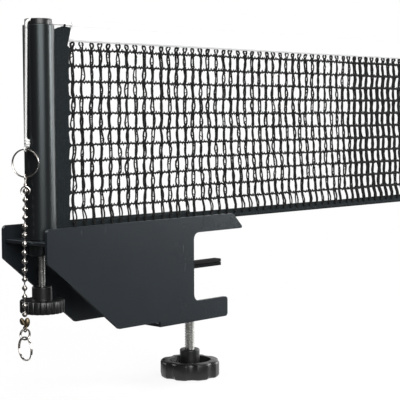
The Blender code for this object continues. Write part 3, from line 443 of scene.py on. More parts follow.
def finish_of(name):
    """The material of that name, made on its first use from the panel's colours."""
    if name in bpy.data.materials:
        return bpy.data.materials[name]
    tints = bpy.context.scene.net_clamp_colours
    makers = {
        "bracket_paint": lambda: powder_coat(name, tints.powder, 0.27),
        "post_paint": lambda: powder_coat(name, tints.black_powder, 0.30, worn=0.25),
        # Half the post's black powder colour, darker than the paint itself: painted shade for the front
        # plate's shadow on the pressure plate.
        "jaw_paint_with_painted_shade": lambda: powder_coat(name, shade(tints.black_powder, 0.5), 0.60, 0.10, 0.06),
        "screw_plating": lambda: plated_steel(name, tints.zinc, 0.17, shade(tints.zinc, 0.45)),
        "knob_plastic": lambda: moulded_plastic(name, tints.plastic, 0.28),
        "jaw_rubber": lambda: soft_rubber(name, tints.rubber),
        "knitted_yarn": lambda: net_yarn(name, tints.yarn),
        "band_webbing": lambda: woven_cloth(name, tints.webbing, 0.0014, 0.0012, 0.00020, 0.95, 0.80),
        "hem_webbing": lambda: woven_cloth(name, tints.webbing, 0.0016, 0.0011, 0.00022, 0.9, 0.82),
        "tape_cloth": lambda: woven_cloth(name, tints.tape, 0.0007, 0.0007, 0.00006, 0.10, 0.80),
        "cord_braid": lambda: braided_cord(name, tints.cord),
        "ring_nickel": lambda: plated_steel(name, tints.nickel, 0.14, shade(tints.nickel, 0.62)),
        "clasp_brass": lambda: plated_steel(name, tints.brass, 0.30, shade(tints.brass, 0.27)),
    }
    return makers[name]()


# ---- pieces ----------------------------------------------------------------------------------------
def make_piece(name, shape, finish, body, nodes=(), smooth=35.0):
    """An object from a bmesh or a mesh: finished, riding on its body, standing for its CAD nodes."""
    if isinstance(shape, bmesh.types.BMesh):
        mesh = bpy.data.meshes.new(name)
        shape.to_mesh(mesh)
        shape.free()
    else:
        mesh = shape
        mesh.name = name
    if "custom_normal" in mesh.attributes:      # the CAD mesh's own, wrong once its faces are merged
        mesh.attributes.remove(mesh.attributes["custom_normal"])
    mesh.materials.clear()
    mesh.materials.append(finish_of(finish))
    mesh.shade_smooth()
    mesh.set_sharp_from_angle(angle=math.radians(smooth))
    item = bpy.data.objects.new(name, mesh)
    bpy.context.scene.collection.objects.link(item)
    if nodes:
        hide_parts(*nodes)
    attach(item, body)
    return item


def merged_copy(node):
    """A bmesh of a CAD node with its loose triangles joined and its flat faces whole."""
    shape = bmesh.new()
    shape.from_mesh(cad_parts[node].data)
    bmesh.ops.remove_doubles(shape, verts=shape.verts, dist=1e-5)
    bmesh.ops.dissolve_limit(shape, angle_limit=math.radians(0.8), verts=shape.verts, edges=shape.edges)
    return shape


def dressed_copy(node, finish, body, edge):
    """A CAD node's own shape with its finish, its sharp edges rounded by a Bevel modifier."""
    item = make_piece(node + "_piece", merged_copy(node), finish, body, [node])
    step = item.modifiers.new("rounded edges", "BEVEL")
    step.width = edge
    step.segments = 3
    step.limit_method = "ANGLE"
    step.angle_limit = math.radians(32.0)
    step.harden_normals = True
    return item


def spun(section, x, segments):
    """Ring of a closed (radius, z) section, turned round an upright axis at x."""
    shape = bmesh.new()
    points = [shape.verts.new((radius, 0.0, z)) for radius, z in section]
    lines = [shape.edges.new(pair) for pair in zip(points, points[1:] + points[:1])]
    bmesh.ops.spin(shape, geom=points + lines, axis=(0, 0, 1), cent=(0, 0, 0), steps=segments,
                   angle=math.tau, use_merge=True)
    bmesh.ops.remove_doubles(shape, verts=shape.verts, dist=1e-6)
    bmesh.ops.recalc_face_normals(shape, faces=shape.faces)
    bmesh.ops.translate(shape, vec=(x, 0.0, 0.0), verts=shape.verts)
    return shape


def joined(*shapes):
    """One bmesh from several bmeshes or meshes."""
    whole = bmesh.new()
    for shape in shapes:
        mesh = shape
        if isinstance(shape, bmesh.types.BMesh):
            mesh = bpy.data.meshes.new("member")
            shape.to_mesh(mesh)
            shape.free()
        whole.from_mesh(mesh)
        bpy.data.meshes.remove(mesh)
    return whole


def threaded(node, pitch, steps=24):
    """Screw with a true helical thread in a CAD rod's place, cut flat at both ends."""
    low, high = [corner.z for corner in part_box(node)]
    x = middle(node).x
    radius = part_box(node)[1].x - x
    root = radius - pitch * 0.55
    start = low - 1.5 * pitch
    turns = math.ceil((high - start) / pitch) + 2
    shape = bmesh.new()
    section = [(root, 0.0), (root, 0.12), (radius, 0.44), (radius, 0.56), (root, 0.88), (root, 1.0)]
    points = [shape.verts.new((r, 0.0, start + pitch * share)) for r, share in section]
    lines = [shape.edges.new(pair) for pair in zip(points, points[1:])]
    bmesh.ops.spin(shape, geom=points + lines, axis=(0, 0, 1), cent=(0, 0, 0), steps=steps * turns,
                   angle=math.tau * turns, dvec=(0.0, 0.0, pitch / steps))
    bmesh.ops.remove_doubles(shape, verts=shape.verts, dist=2e-6)
    for height, side in ((low, -1.0), (high, 1.0)):
        everything = list(shape.verts) + list(shape.edges) + list(shape.faces)
        bmesh.ops.bisect_plane(shape, geom=everything, plane_co=(0, 0, height), plane_no=(0, 0, side),
                               clear_outer=True)
        rim = [e for e in shape.edges if len(e.link_faces) == 1
               and all(abs(v.co.z - height) < 1e-6 for v in e.verts)]
        bmesh.ops.edgeloop_fill(shape, edges=rim)
    for corner in shape.verts:
        over = corner.co.z - (high - THREAD_TIP)
        across = corner.co.xy
        if over > 0 and across.length > radius - over:
            corner.co.xy = across * ((radius - over) / across.length)
    bmesh.ops.recalc_face_normals(shape, faces=shape.faces)
    bmesh.ops.translate(shape, vec=(x, 0.0, 0.0), verts=shape.verts)
    return shape


def swept(runs, radius, resolution=2, closed=False):
    """Mesh of round wires, cords or yarns along runs of (x, y, z) or (x, y, z, thickness) points.

    Its UV map gives millimetres along and turns round.
    """
    line = bpy.data.curves.new("run", "CURVE")
    line.dimensions = "3D"
    line.bevel_depth = radius
    line.bevel_resolution = resolution
    line.use_fill_caps = not closed
    for run in runs:
        spline = line.splines.new("POLY")
        spline.points.add(len(run) - 1)
        for point, place in zip(spline.points, run):
            point.co = (*place[:3], 1.0)
            point.radius = place[3] if len(place) > 3 else 1.0
        spline.use_cyclic_u = closed
    holder = bpy.data.objects.new("run", line)
    mesh = bpy.data.meshes.new_from_object(holder)
    bpy.data.objects.remove(holder)
    bpy.data.curves.remove(line)
    length = sum((Vector(b[:3]) - Vector(a[:3])).length for a, b in zip(runs[0], runs[0][1:]))
    for corner in mesh.uv_layers[0].data:
        corner.uv.x *= length * 1000.0
    return mesh


def smooth_route(stations, spacing):
    """Points about spacing apart on a smooth curve through the stations."""
    stations = [Vector(place) for place in stations]
    route = [stations[0]]
    for i in range(len(stations) - 1):
        here, there = stations[i], stations[i + 1]
        before = stations[max(i - 1, 0)]
        after = stations[min(i + 2, len(stations) - 1)]
        steps = max(1, round((there - here).length / spacing))
        for step in range(1, steps + 1):
            t = step / steps
            route.append(0.5 * (2 * here + (there - before) * t
                                + (2 * before - 5 * here + 4 * there - after) * t ** 2
                                + (3 * here - before - 3 * there + after) * t ** 3))
    return route


def upright(centre, turn):
    """Matrix that stands a shape made flat in XY in the vertical plane along turn, at a centre."""
    return (Matrix.Translation(centre) @ Matrix.Rotation(math.radians(turn), 4, "Z")
            @ Matrix.Rotation(math.radians(90.0), 4, "X"))


def level(degrees):
    """Level direction at an angle about Z."""
    return Vector((math.cos(math.radians(degrees)), math.sin(math.radians(degrees)), 0.0))


def loop_points(centre, across, wide, high, start, end, count):
    """Points of an upright ellipse round a centre, from one angle to another in degrees."""
    angles = [math.radians(start + (end - start) * i / (count - 1)) for i in range(count)]
    return [centre + across * wide * math.cos(a) + UP * high * math.sin(a) for a in angles]


def wobble(*place):
    """Smooth noise between -1 and 1."""
    return noise.noise(Vector(place))


def ease(share):
    """Soft step from 0 to 1."""
    share = min(1.0, max(0.0, share))
    return share * share * (3 - 2 * share)


class NetClampOperator(bpy.types.Operator):
    """Shared settings of the operators that build the clamp."""

    bl_options = {"REGISTER", "UNDO"}


# ---- cords -----------------------------------------------------------------------------------------
class NETCLAMP_OT_cords(NetClampOperator):
    """Builds the tension cord, the bottom cord, the free tail and its knot"""

    bl_idname = "netclamp.cords"
    bl_label = "Cords and knot"

    def execute(self, context):
        radius = context.scene.net_clamp_sizes.cord
        self.tension_cord(radius)
        self.bottom_cord()
        tail, route = self.tail(radius)
        hung = [self.knot(radius), bpy.data.objects["upper_ring_wire"],
                bpy.data.objects["chain_hook_wire"]]
        return {"FINISHED"}

    def tension_cord(self, radius):
        """Along the tape, through the cap's groove and over to the post's outer side."""
        bend = 0.0034
        turn = TAIL_TOP + Vector((bend, 0.0, 0.00245))
        over = [turn + Vector((-bend * math.sin(a), 0.0, bend * math.cos(a)))
                for a in (math.radians(30 * i) for i in range(4))]
        stations = [(NET_END, 0.0, CORD_Z), (-0.113, 0.0, CORD_Z), (-0.120, 0.0, CORD_Z + 0.0003),
                    (-0.1296, 0.0, 0.15185), (POST_X, TAIL_TOP.y / 2, 0.15215)]
        route = smooth_route(stations + over + [TAIL_TOP + Vector((0.0, 0.0, 0.0003))], 0.0012)
        make_piece("tension_cord_braid", swept([route], radius), "cord_braid", "post",
                   ["tension_cord"])

    def bottom_cord(self):
        """The thin cord in the hem."""
        start, spacing, count = NET_START + 0.0003, 0.002, 201
        route = [(start + i * spacing, 0.0, HEM_CORD_Z) for i in range(count)]
        make_piece("bottom_cord", swept([route], BOTTOM_CORD_R, 1), "cord_braid", "post",
                   ["net_bottom_cord"])

    def tail(self, radius):
        """The free tail and its route, which ends inside the knot."""
        low = KNOT_TOP - UP * 0.0012
        route = smooth_route([TAIL_TOP, TAIL_TOP.lerp(low, 0.5), low], 0.0012)
        return make_piece("cord_tail_braid", swept([route], radius), "cord_braid", "tail",
                          ["cord_tail"]), route

    def knot(self, radius):
        """A stopper knot: the cord winds round itself, holds the ring in a loop and leaves an end."""
        wire = UPPER_RING + UP * (reach("upper_split_ring") - RING_WIRE)
        away = level(UPPER_RING_TURN + 90.0)
        centre = KNOT_TOP - UP * (KNOT_HEIGHT / 2 + 0.0001) + Vector((0.00074, -0.00058, 0.0))
        coil = []
        turns, count = 3.1, 56
        for i in range(count):
            share = i / (count - 1)
            angle = math.tau * turns * share + 0.6
            out = 0.00122 - 0.00045 * abs(2 * share - 1) ** 3
            coil.append(centre + Vector((out * math.cos(angle), out * math.sin(angle),
                                         (share - 0.5) * -0.0052)))
        loop = loop_points(wire, away, 0.00150, 0.00115, 110.0, 430.0, 30)
        end = [coil[-1] + UP * 0.0009, centre + Vector((-0.0012, -0.0010, 0.0006)),
               centre + Vector((-0.0014, -0.0013, -0.0008))]
        core = [KNOT_TOP + UP * 0.0002, centre, wire + UP * 0.0019, loop[0] + UP * 0.0003]
        mesh = joined(swept([coil], radius * 1.12), swept([loop], radius * 0.66),
                      swept([smooth_route(end, 0.0006)], radius * 0.92),
                      swept([smooth_route(core, 0.001)], radius))
        return make_piece("cord_knot_turns", mesh, "cord_braid", "tail", ["cord_knot"])


# ---- rings and chain -------------------------------------------------------------------------------
def split_ring(name, node, turn, jog, wire, body):
    """Two turns of wire that pass from one side to the other at the jog, an angle in degrees."""
    radius = reach(node) - RING_WIRE
    start, end, count = 0.045, 1.95, 96         # turns of wire, and steps along them
    apart = 0.00044                             # of each turn from the ring's middle plane
    place = upright(middle(node), turn)
    run = []
    for i in range(count + 1):
        t = start + (end - start) * i / count
        angle = math.tau * t + math.radians(jog)
        side = apart * (2 * ease((t - 0.90) / 0.20) - 1)
        run.append(place @ Vector((radius * math.cos(angle), radius * math.sin(angle), side)))
    make_piece(name, swept([run], wire), "ring_nickel", body, [node])


class NETCLAMP_OT_rings(NetClampOperator):
    """Builds the three split rings from two turns of wire each"""

    bl_idname = "netclamp.rings"
    bl_label = "Split rings"

    def execute(self, context):
        wire = context.scene.net_clamp_sizes.wire
        split_ring("upper_ring_wire", "upper_split_ring", UPPER_RING_TURN, 355.0, wire, "tail")
        split_ring("clasp_ring_wire", "clasp_ring", CLASP_RING_TURN, 200.0, wire * 1.15, "chain")
        split_ring("lower_ring_wire", "lower_split_ring", LOWER_RING_TURN, 320.0, wire, "finger_ring")
        return {"FINISHED"}


class NETCLAMP_OT_chain(NetClampOperator):
    """Builds the ball chain, the hook over it and the clasp under it"""

    bl_idname = "netclamp.chain"
    bl_label = "Ball chain, hook and clasp"

    def execute(self, context):
        self.hook()
        self.balls()
        self.clasp()
        return {"FINISHED"}

    def hook(self):
        """Wire round the upper ring, wound together, with a bail round the first ball."""
        wire = UPPER_RING - UP * (reach("upper_split_ring") - RING_WIRE)
        away = level(UPPER_RING_TURN + 90.0)
        low = CHAIN_TOP + UP * 0.0032
        eye = loop_points(wire, away, EYE_R, EYE_R, -60.0, 240.0, 26)
        waist = low.lerp(wire, 0.45)
        legs = [low + away * 0.00045, waist + away * 0.00062] + eye \
            + [waist - away * 0.00062, low - away * 0.00045]
        bail = loop_points(CHAIN_TOP, level(BAIL_TURN), BAIL_R, BAIL_R, -50.0, 230.0, 29)
        turns, count = [], 40
        for i in range(count):
            share = i / (count - 1)
            turns.append(low + UP * (0.0002 + 0.0018 * share) + level(360.0 * 3.0 * share) * 0.00085)
        mesh = joined(swept([smooth_route(legs, 0.0004)], 0.0005), swept([bail], 0.0005),
                      swept([turns], 0.00032))
        make_piece("chain_hook_wire", mesh, "ring_nickel", "chain", ["chain_hook"])

    def balls(self):
        """The balls, and between them the pins with a small collar at each ball."""
        shape = bmesh.new()
        places = []
        last = BALLS - 1
        for i in range(BALLS):
            t = i / last
            places.append(CHAIN_TOP.lerp(CHAIN_END, t) + CHAIN_BOW * 4 * t * (1 - t))
        for i, place in enumerate(places):
            along = places[min(i + 1, last)] - places[max(i - 1, 0)]
            turn = along.to_track_quat("Z", "Y").to_matrix().to_4x4()
            ball = bmesh.ops.create_uvsphere(shape, u_segments=18, v_segments=12, radius=BALL_R)["verts"]
            bmesh.ops.transform(shape, matrix=Matrix.Translation(place) @ turn, verts=ball)
        for here, there in zip(places, places[1:]):
            pin = bmesh.ops.create_cone(shape, cap_ends=True, segments=10, radius1=0.00045,
                                        radius2=0.00045, depth=(there - here).length - 0.003)["verts"]
            turn = (there - here).to_track_quat("Z", "Y").to_matrix().to_4x4()
            bmesh.ops.transform(shape, matrix=Matrix.Translation(here.lerp(there, 0.5)) @ turn, verts=pin)
            for share, side in ((0.32, 1), (0.68, -1)):
                collar = bmesh.ops.create_cone(shape, cap_ends=True, segments=12, radius1=0.0008,
                                               radius2=0.00062, depth=0.0005)["verts"]
                flip = Matrix.Rotation(0.0 if side > 0 else math.pi, 4, "X")
                bmesh.ops.transform(shape, matrix=Matrix.Translation(here.lerp(there, share)) @ turn
                                    @ flip, verts=collar)
        make_piece("ball_chain_links", shape, "ring_nickel", "chain", ["ball_chain"])

    def clasp(self):
        """Two folded lobes side by side, the tongue that closes them, and an eye below them."""
        shape = bmesh.new()
        for radii, centre, tilt in (((0.00165, 0.0014, 0.0026), (-0.00185, 0.0001, -0.0027), -16.0),
                                    ((0.00205, 0.0016, 0.0034), (0.00140, 0.0, -0.0034), 7.0)):
            lobe = bmesh.ops.create_uvsphere(shape, u_segments=22, v_segments=16, radius=1.0)["verts"]
            bmesh.ops.scale(shape, vec=radii, verts=lobe)
            lean = Matrix.Translation(centre) @ Matrix.Rotation(math.radians(tilt), 4, "Y")
            bmesh.ops.transform(shape, matrix=lean, verts=lobe)
        tongue = [(-0.0026, -0.0007, -0.0008), (-0.0016, -0.0016, -0.0020), (-0.0004, -0.0019, -0.0038),
                  (0.0002, -0.0015, -0.0056), (0.0001, -0.0004, -0.0066)]
        place = Matrix.Translation(CLASP_TOP) @ Matrix.Rotation(math.radians(CLASP_TURN), 4, "Z")
        bmesh.ops.transform(shape, matrix=place, verts=shape.verts)
        tongue = smooth_route([place @ Vector(point) for point in tongue], 0.0005)
        wire = CLASP_RING + UP * (reach("clasp_ring") - RING_WIRE)
        eye = loop_points(wire, level(CLASP_RING_TURN + 90.0), EYE_R, EYE_R, 0.0, 348.0, 30)
        mesh = joined(shape, swept([tongue], 0.00055), swept([eye], 0.0005, closed=True))
        make_piece("chain_clasp_shell", mesh, "clasp_brass", "chain", ["chain_clasp"])


# ---- bracket and clamp -----------------------------------------------------------------------------
class NETCLAMP_OT_bracket(NetClampOperator):
    """Dresses the folded bracket, the post's cross plate and the upper jaw plate"""

    bl_idname = "netclamp.bracket"
    bl_label = "Bracket and its plates"

    def execute(self, context):
        edge = context.scene.net_clamp_sizes.sheet_edge
        for node in ("bracket_body", "post_cross_plate", "upper_jaw_plate"):
            dressed_copy(node, "bracket_paint", "bracket", edge)
        return {"FINISHED"}


class NETCLAMP_OT_rubbers(NetClampOperator):
    """Dresses the flat rubbers of the upper jaw and of the pressure plate"""

    bl_idname = "netclamp.rubbers"
    bl_label = "Jaw rubbers"

    def execute(self, context):
        edge = 0.0004
        for node, body in (("upper_jaw_pad", "bracket"), ("pressure_pad", "pressure_bar")):
            dressed_copy(node, "jaw_rubber", body, edge)
        return {"FINISHED"}


class NETCLAMP_OT_clamp_screw(NetClampOperator):
    """Builds the threaded clamp screw, and dresses its nut, swivel foot and pressure plate"""

    bl_idname = "netclamp.clamp_screw"
    bl_label = "Clamp screw, nut, foot and plate"

    def execute(self, context):
        sizes = context.scene.net_clamp_sizes
        make_piece("clamp_screw_thread", threaded("clamp_screw", sizes.clamp_pitch), "screw_plating",
                   "clamp_spindle", ["clamp_screw"])
        for node, body in (("clamp_nut", "bracket"), ("swivel_foot", "foot")):
            dressed_copy(node, "screw_plating", body, sizes.turned_edge)
        # The pressure plate's paint is darkened as painted shade for the front plate's shadow.
        dressed_copy("pressure_plate", "jaw_paint_with_painted_shade", "pressure_bar",
                     sizes.sheet_edge)
        return {"FINISHED"}


class NETCLAMP_OT_knobs(NetClampOperator):
    """Dresses the clamp's grooved knob and the ribbed height knob"""

    bl_idname = "netclamp.knobs"
    bl_label = "Knobs"

    def execute(self, context):
        edge = context.scene.net_clamp_sizes.turned_edge
        dressed_copy("clamp_knob", "knob_plastic", "clamp_spindle", edge)
        dressed_copy("height_knob", "knob_plastic", "height_spindle", edge)
        return {"FINISHED"}


class NETCLAMP_OT_height_screw(NetClampOperator):
    """Builds the threaded height screw, and dresses the bush and the guide post"""

    bl_idname = "netclamp.height_screw"
    bl_label = "Height screw, bush and guide"

    def execute(self, context):
        sizes = context.scene.net_clamp_sizes
        make_piece("height_screw_thread", threaded("height_screw", sizes.height_pitch), "screw_plating",
                   "height_spindle", ["height_screw"])
        dressed_copy("height_bush", "post_paint", "bracket", sizes.turned_edge)
        dressed_copy("guide_post", "screw_plating", "bracket", sizes.turned_edge)
        return {"FINISHED"}


class NETCLAMP_OT_post(NetClampOperator):
    """Dresses the post's tube, plug and cap, and the rod in the net's end"""

    bl_idname = "netclamp.post"
    bl_label = "Post, plug, cap and net rod"

    def execute(self, context):
        edge = context.scene.net_clamp_sizes.turned_edge
        dressed_copy("post_tube", "post_paint", "post", edge)
        for node in ("post_plug", "post_cap", "net_end_rod"):
            dressed_copy(node, "knob_plastic", "post", edge)
        return {"FINISHED"}


# ---- net -------------------------------------------------------------------------------------------
def tightness(column):
    """0 where the meshes hang open, 1 where the net is drawn tight, towards its cut end."""
    return ease((column - LAST_LOOSE) / (FIRST_TIGHT - LAST_LOOSE))


class YarnPair:
    """The chance values of one column of the net: two upright yarns that bow apart in each mesh."""

    def __init__(self, column, levels, slants, luck):
        self.column = column
        self.levels = levels
        self.x = COLUMN_START + COLUMN_PITCH * column
        self.tight = tight = tightness(column)
        free = min(1.0, max(0.0, (column - 12) / 10))
        self.leans = [luck.uniform(-0.0008, 0.0008) * (1.0 - 0.7 * tight) + slants[i] * tight
                      + 0.0007 * free * max(0.0, i - 5.0) for i in range(len(levels))]
        self.opens = [luck.choice((0.1, 0.35, 0.6, 0.9, 1.2)) * (1.0 - 0.8 * tight) for _ in levels]
        self.belly = [luck.uniform(0.38, 0.66) for _ in levels]
        self.drift = [luck.uniform(-0.0010, 0.0010) for _ in levels]
        self.stout = [luck.uniform(0.85, 1.15) for _ in levels]

    def yarn(self, side, bow, luck):
        """One yarn from the tape to behind the hem, on the side -1 or 1 of the pair."""
        run = []
        for cell in range(len(self.levels) - 1):
            for step in range(CELL_STEPS):
                run.append(self.point(cell, step, side, bow, luck))
        return run + [(self.x + self.leans[-1] + side * 0.0004, -0.0013, self.levels[-1], 1.0)]

    def point(self, cell, step, side, bow, luck):
        """Place and thickness of a yarn at one step down a mesh. The yarns cross at each row."""
        top, low = self.levels[cell], self.levels[cell + 1]
        t = step / CELL_STEPS
        peak = math.sin(math.pi * t ** (math.log(0.5) / math.log(self.belly[cell]))) if t else 0.0
        lean = self.leans[cell] * (1 - t) + self.leans[cell + 1] * t
        out = 0.00054 + bow * self.opens[cell] * peak ** 1.3 + 0.0004 * self.tight
        if cell == 0:       # the loop under the tape
            out = (0.0007, 0.00165, 0.0016, 0.0012, 0.0008, 0.0006)[step]
        near = -side if (cell + self.column) % 2 else side
        wrap = math.cos(math.pi * t) ** 2
        depth = near * 0.00040 * wrap
        if cell == len(self.levels) - 2:        # behind the hem
            depth = -0.0014 * min(1.0, 2 * t)
        thick = self.stout[cell] * (1.0 + 0.12 * wrap) * (1.0 + 0.35 * self.tight)
        return (self.x + lean + self.drift[cell] * peak + side * out, depth, top + (low - top) * t,
                thick * luck.uniform(0.88, 1.16))


def lace(left, right, luck):
    """Thin yarn that crosses from one upright yarn of a pair to the other, down to the last row."""
    run = []
    for i in range(len(right) - CELL_STEPS):
        side = 1.0 if (i + luck.choice((0, 0, 1))) % 4 < 2 else -1.0
        x, depth, z, _ = (right if side > 0 else left)[i]
        run.append((x + side * luck.uniform(-0.0002, 0.00055), -depth, z + luck.uniform(-0.0006, 0.0006),
                    luck.uniform(0.7, 1.2)))
    return run


class NETCLAMP_OT_net_yarns(NetClampOperator):
    """Knits the net: laced pairs of upright yarns, and level yarns with small teeth"""

    bl_idname = "netclamp.net_yarns"
    bl_label = "Net yarns"

    def execute(self, context):
        sizes = context.scene.net_clamp_sizes
        luck = random.Random(7)
        rows = [ROW_TOP - ROW_PITCH * i for i in range(ROWS)]
        self.upright_yarns(sizes, luck, [TAPE_LOW - 0.0002] + rows + [HEM_TOP - 0.0030])
        self.level_yarns(sizes, luck, rows)
        return {"FINISHED"}

    def knit(self, name, runs, radius, resolution=1, nodes=()):
        """One piece of the net from its yarns' runs."""
        make_piece(name, swept(runs, radius, resolution), "knitted_yarn", "post", nodes,
                   smooth=70.0)

    def upright_yarns(self, sizes, luck, levels):
        """Pairs of yarns that bow apart in each mesh, laced together, with a loop under the tape."""
        runs, laces = [], []
        slants = [luck.uniform(-0.0013, 0.0013) for _ in levels]
        for column in range(sizes.columns):
            pair = YarnPair(column, levels, slants, luck)
            left, right = [pair.yarn(side, sizes.bow, luck) for side in (-1.0, 1.0)]
            runs += [left, right]
            laces.append(lace(left, right, luck))
        self.knit("net_upright_yarns", runs, sizes.yarn, nodes=["net_mesh"])
        self.knit("net_upright_laces", laces, sizes.yarn * 0.62, resolution=0)

    def level_yarns(self, sizes, luck, rows):
        """Level yarns, each wound with a thin yarn that stands out as teeth, three to a mesh."""
        runs, teeth = [], []
        start = BAND_EDGE - 0.003
        step = COLUMN_PITCH / TEETH
        for index, z in enumerate(rows):
            run, wound = [], []
            for i in range(int((NET_END - start) / step)):
                x = start + step * i
                mesh = (x - COLUMN_START) / COLUMN_PITCH
                tight = tightness(mesh)
                hump = max(0.0, 1.0 - abs(mesh % 1.0 - 0.5) * 4.0)
                rise = 0.0003 * hump * (1.0 - tight) + 0.0005 * wobble(x * 22.0, index * 3.1, 0.0)
                thick = 1.0 + 0.15 * luck.uniform(-1, 1) + 0.6 * tight
                thick += 0.25 * max(0.0, math.cos(math.tau * mesh)) ** 4
                run.append((x, 0.00012 * luck.uniform(-1, 1), z + rise, thick))
                tooth = (0.00135 if i % 2 else -0.00105) * luck.uniform(0.6, 1.2)
                wound.append((x + step * 0.2 * luck.uniform(-1, 1), 0.0003 * (-1) ** (i // 2),
                              z + rise + tooth, luck.uniform(0.8, 1.3)))
            run[-1] = (NET_END, *run[-1][1:])
            runs.append(run)
            teeth.append(wound)
        self.knit("net_level_yarns", runs, sizes.row_yarn)
        self.knit("net_level_teeth", teeth, sizes.row_yarn * 0.66)


def folded_strip(flat, round_z, radius, waves, steps=134):
    """Cloth folded round a cord: a round fold, and two walls to its free edges at the height flat."""
    wall = 0.00053
    sign = 1.0 if round_z > flat else -1.0
    turn_in = round_z - sign * radius * 1.35
    section = [(-wall, flat + (turn_in - flat) * share) for share in (0.0, 0.35, 0.7, 1.0)]
    for i in range(9):
        angle = math.radians(256.0 * (i / 8 - 0.5))
        section.append((radius * math.sin(angle), round_z + sign * radius * math.cos(angle)))
    section += [(wall, z) for _, z in section[3::-1]]
    shape = bmesh.new()
    points = [shape.verts.new((NET_START, y, z)) for y, z in section]
    lines = [shape.edges.new(pair) for pair in zip(points, points[1:])]
    step = (NET_END - NET_START) / steps
    bmesh.ops.spin(shape, geom=points + lines, axis=(1, 0, 0), cent=(0, 0, 0), dvec=(step, 0.0, 0.0),
                   angle=0.0, steps=steps)
    for corner in shape.verts:
        free = abs(corner.co.z - round_z) / abs(flat - round_z)
        corner.co.y += waves * min(1.0, free) * wobble(corner.co.x * 34.0, 3.0, corner.co.z * 25.0)
        corner.co.z += waves * 0.6 * max(0.0, free - 0.8) * 5.0 * wobble(corner.co.x * 60.0, 9.0, 0.0)
    bmesh.ops.recalc_face_normals(shape, faces=shape.faces)
    return shape


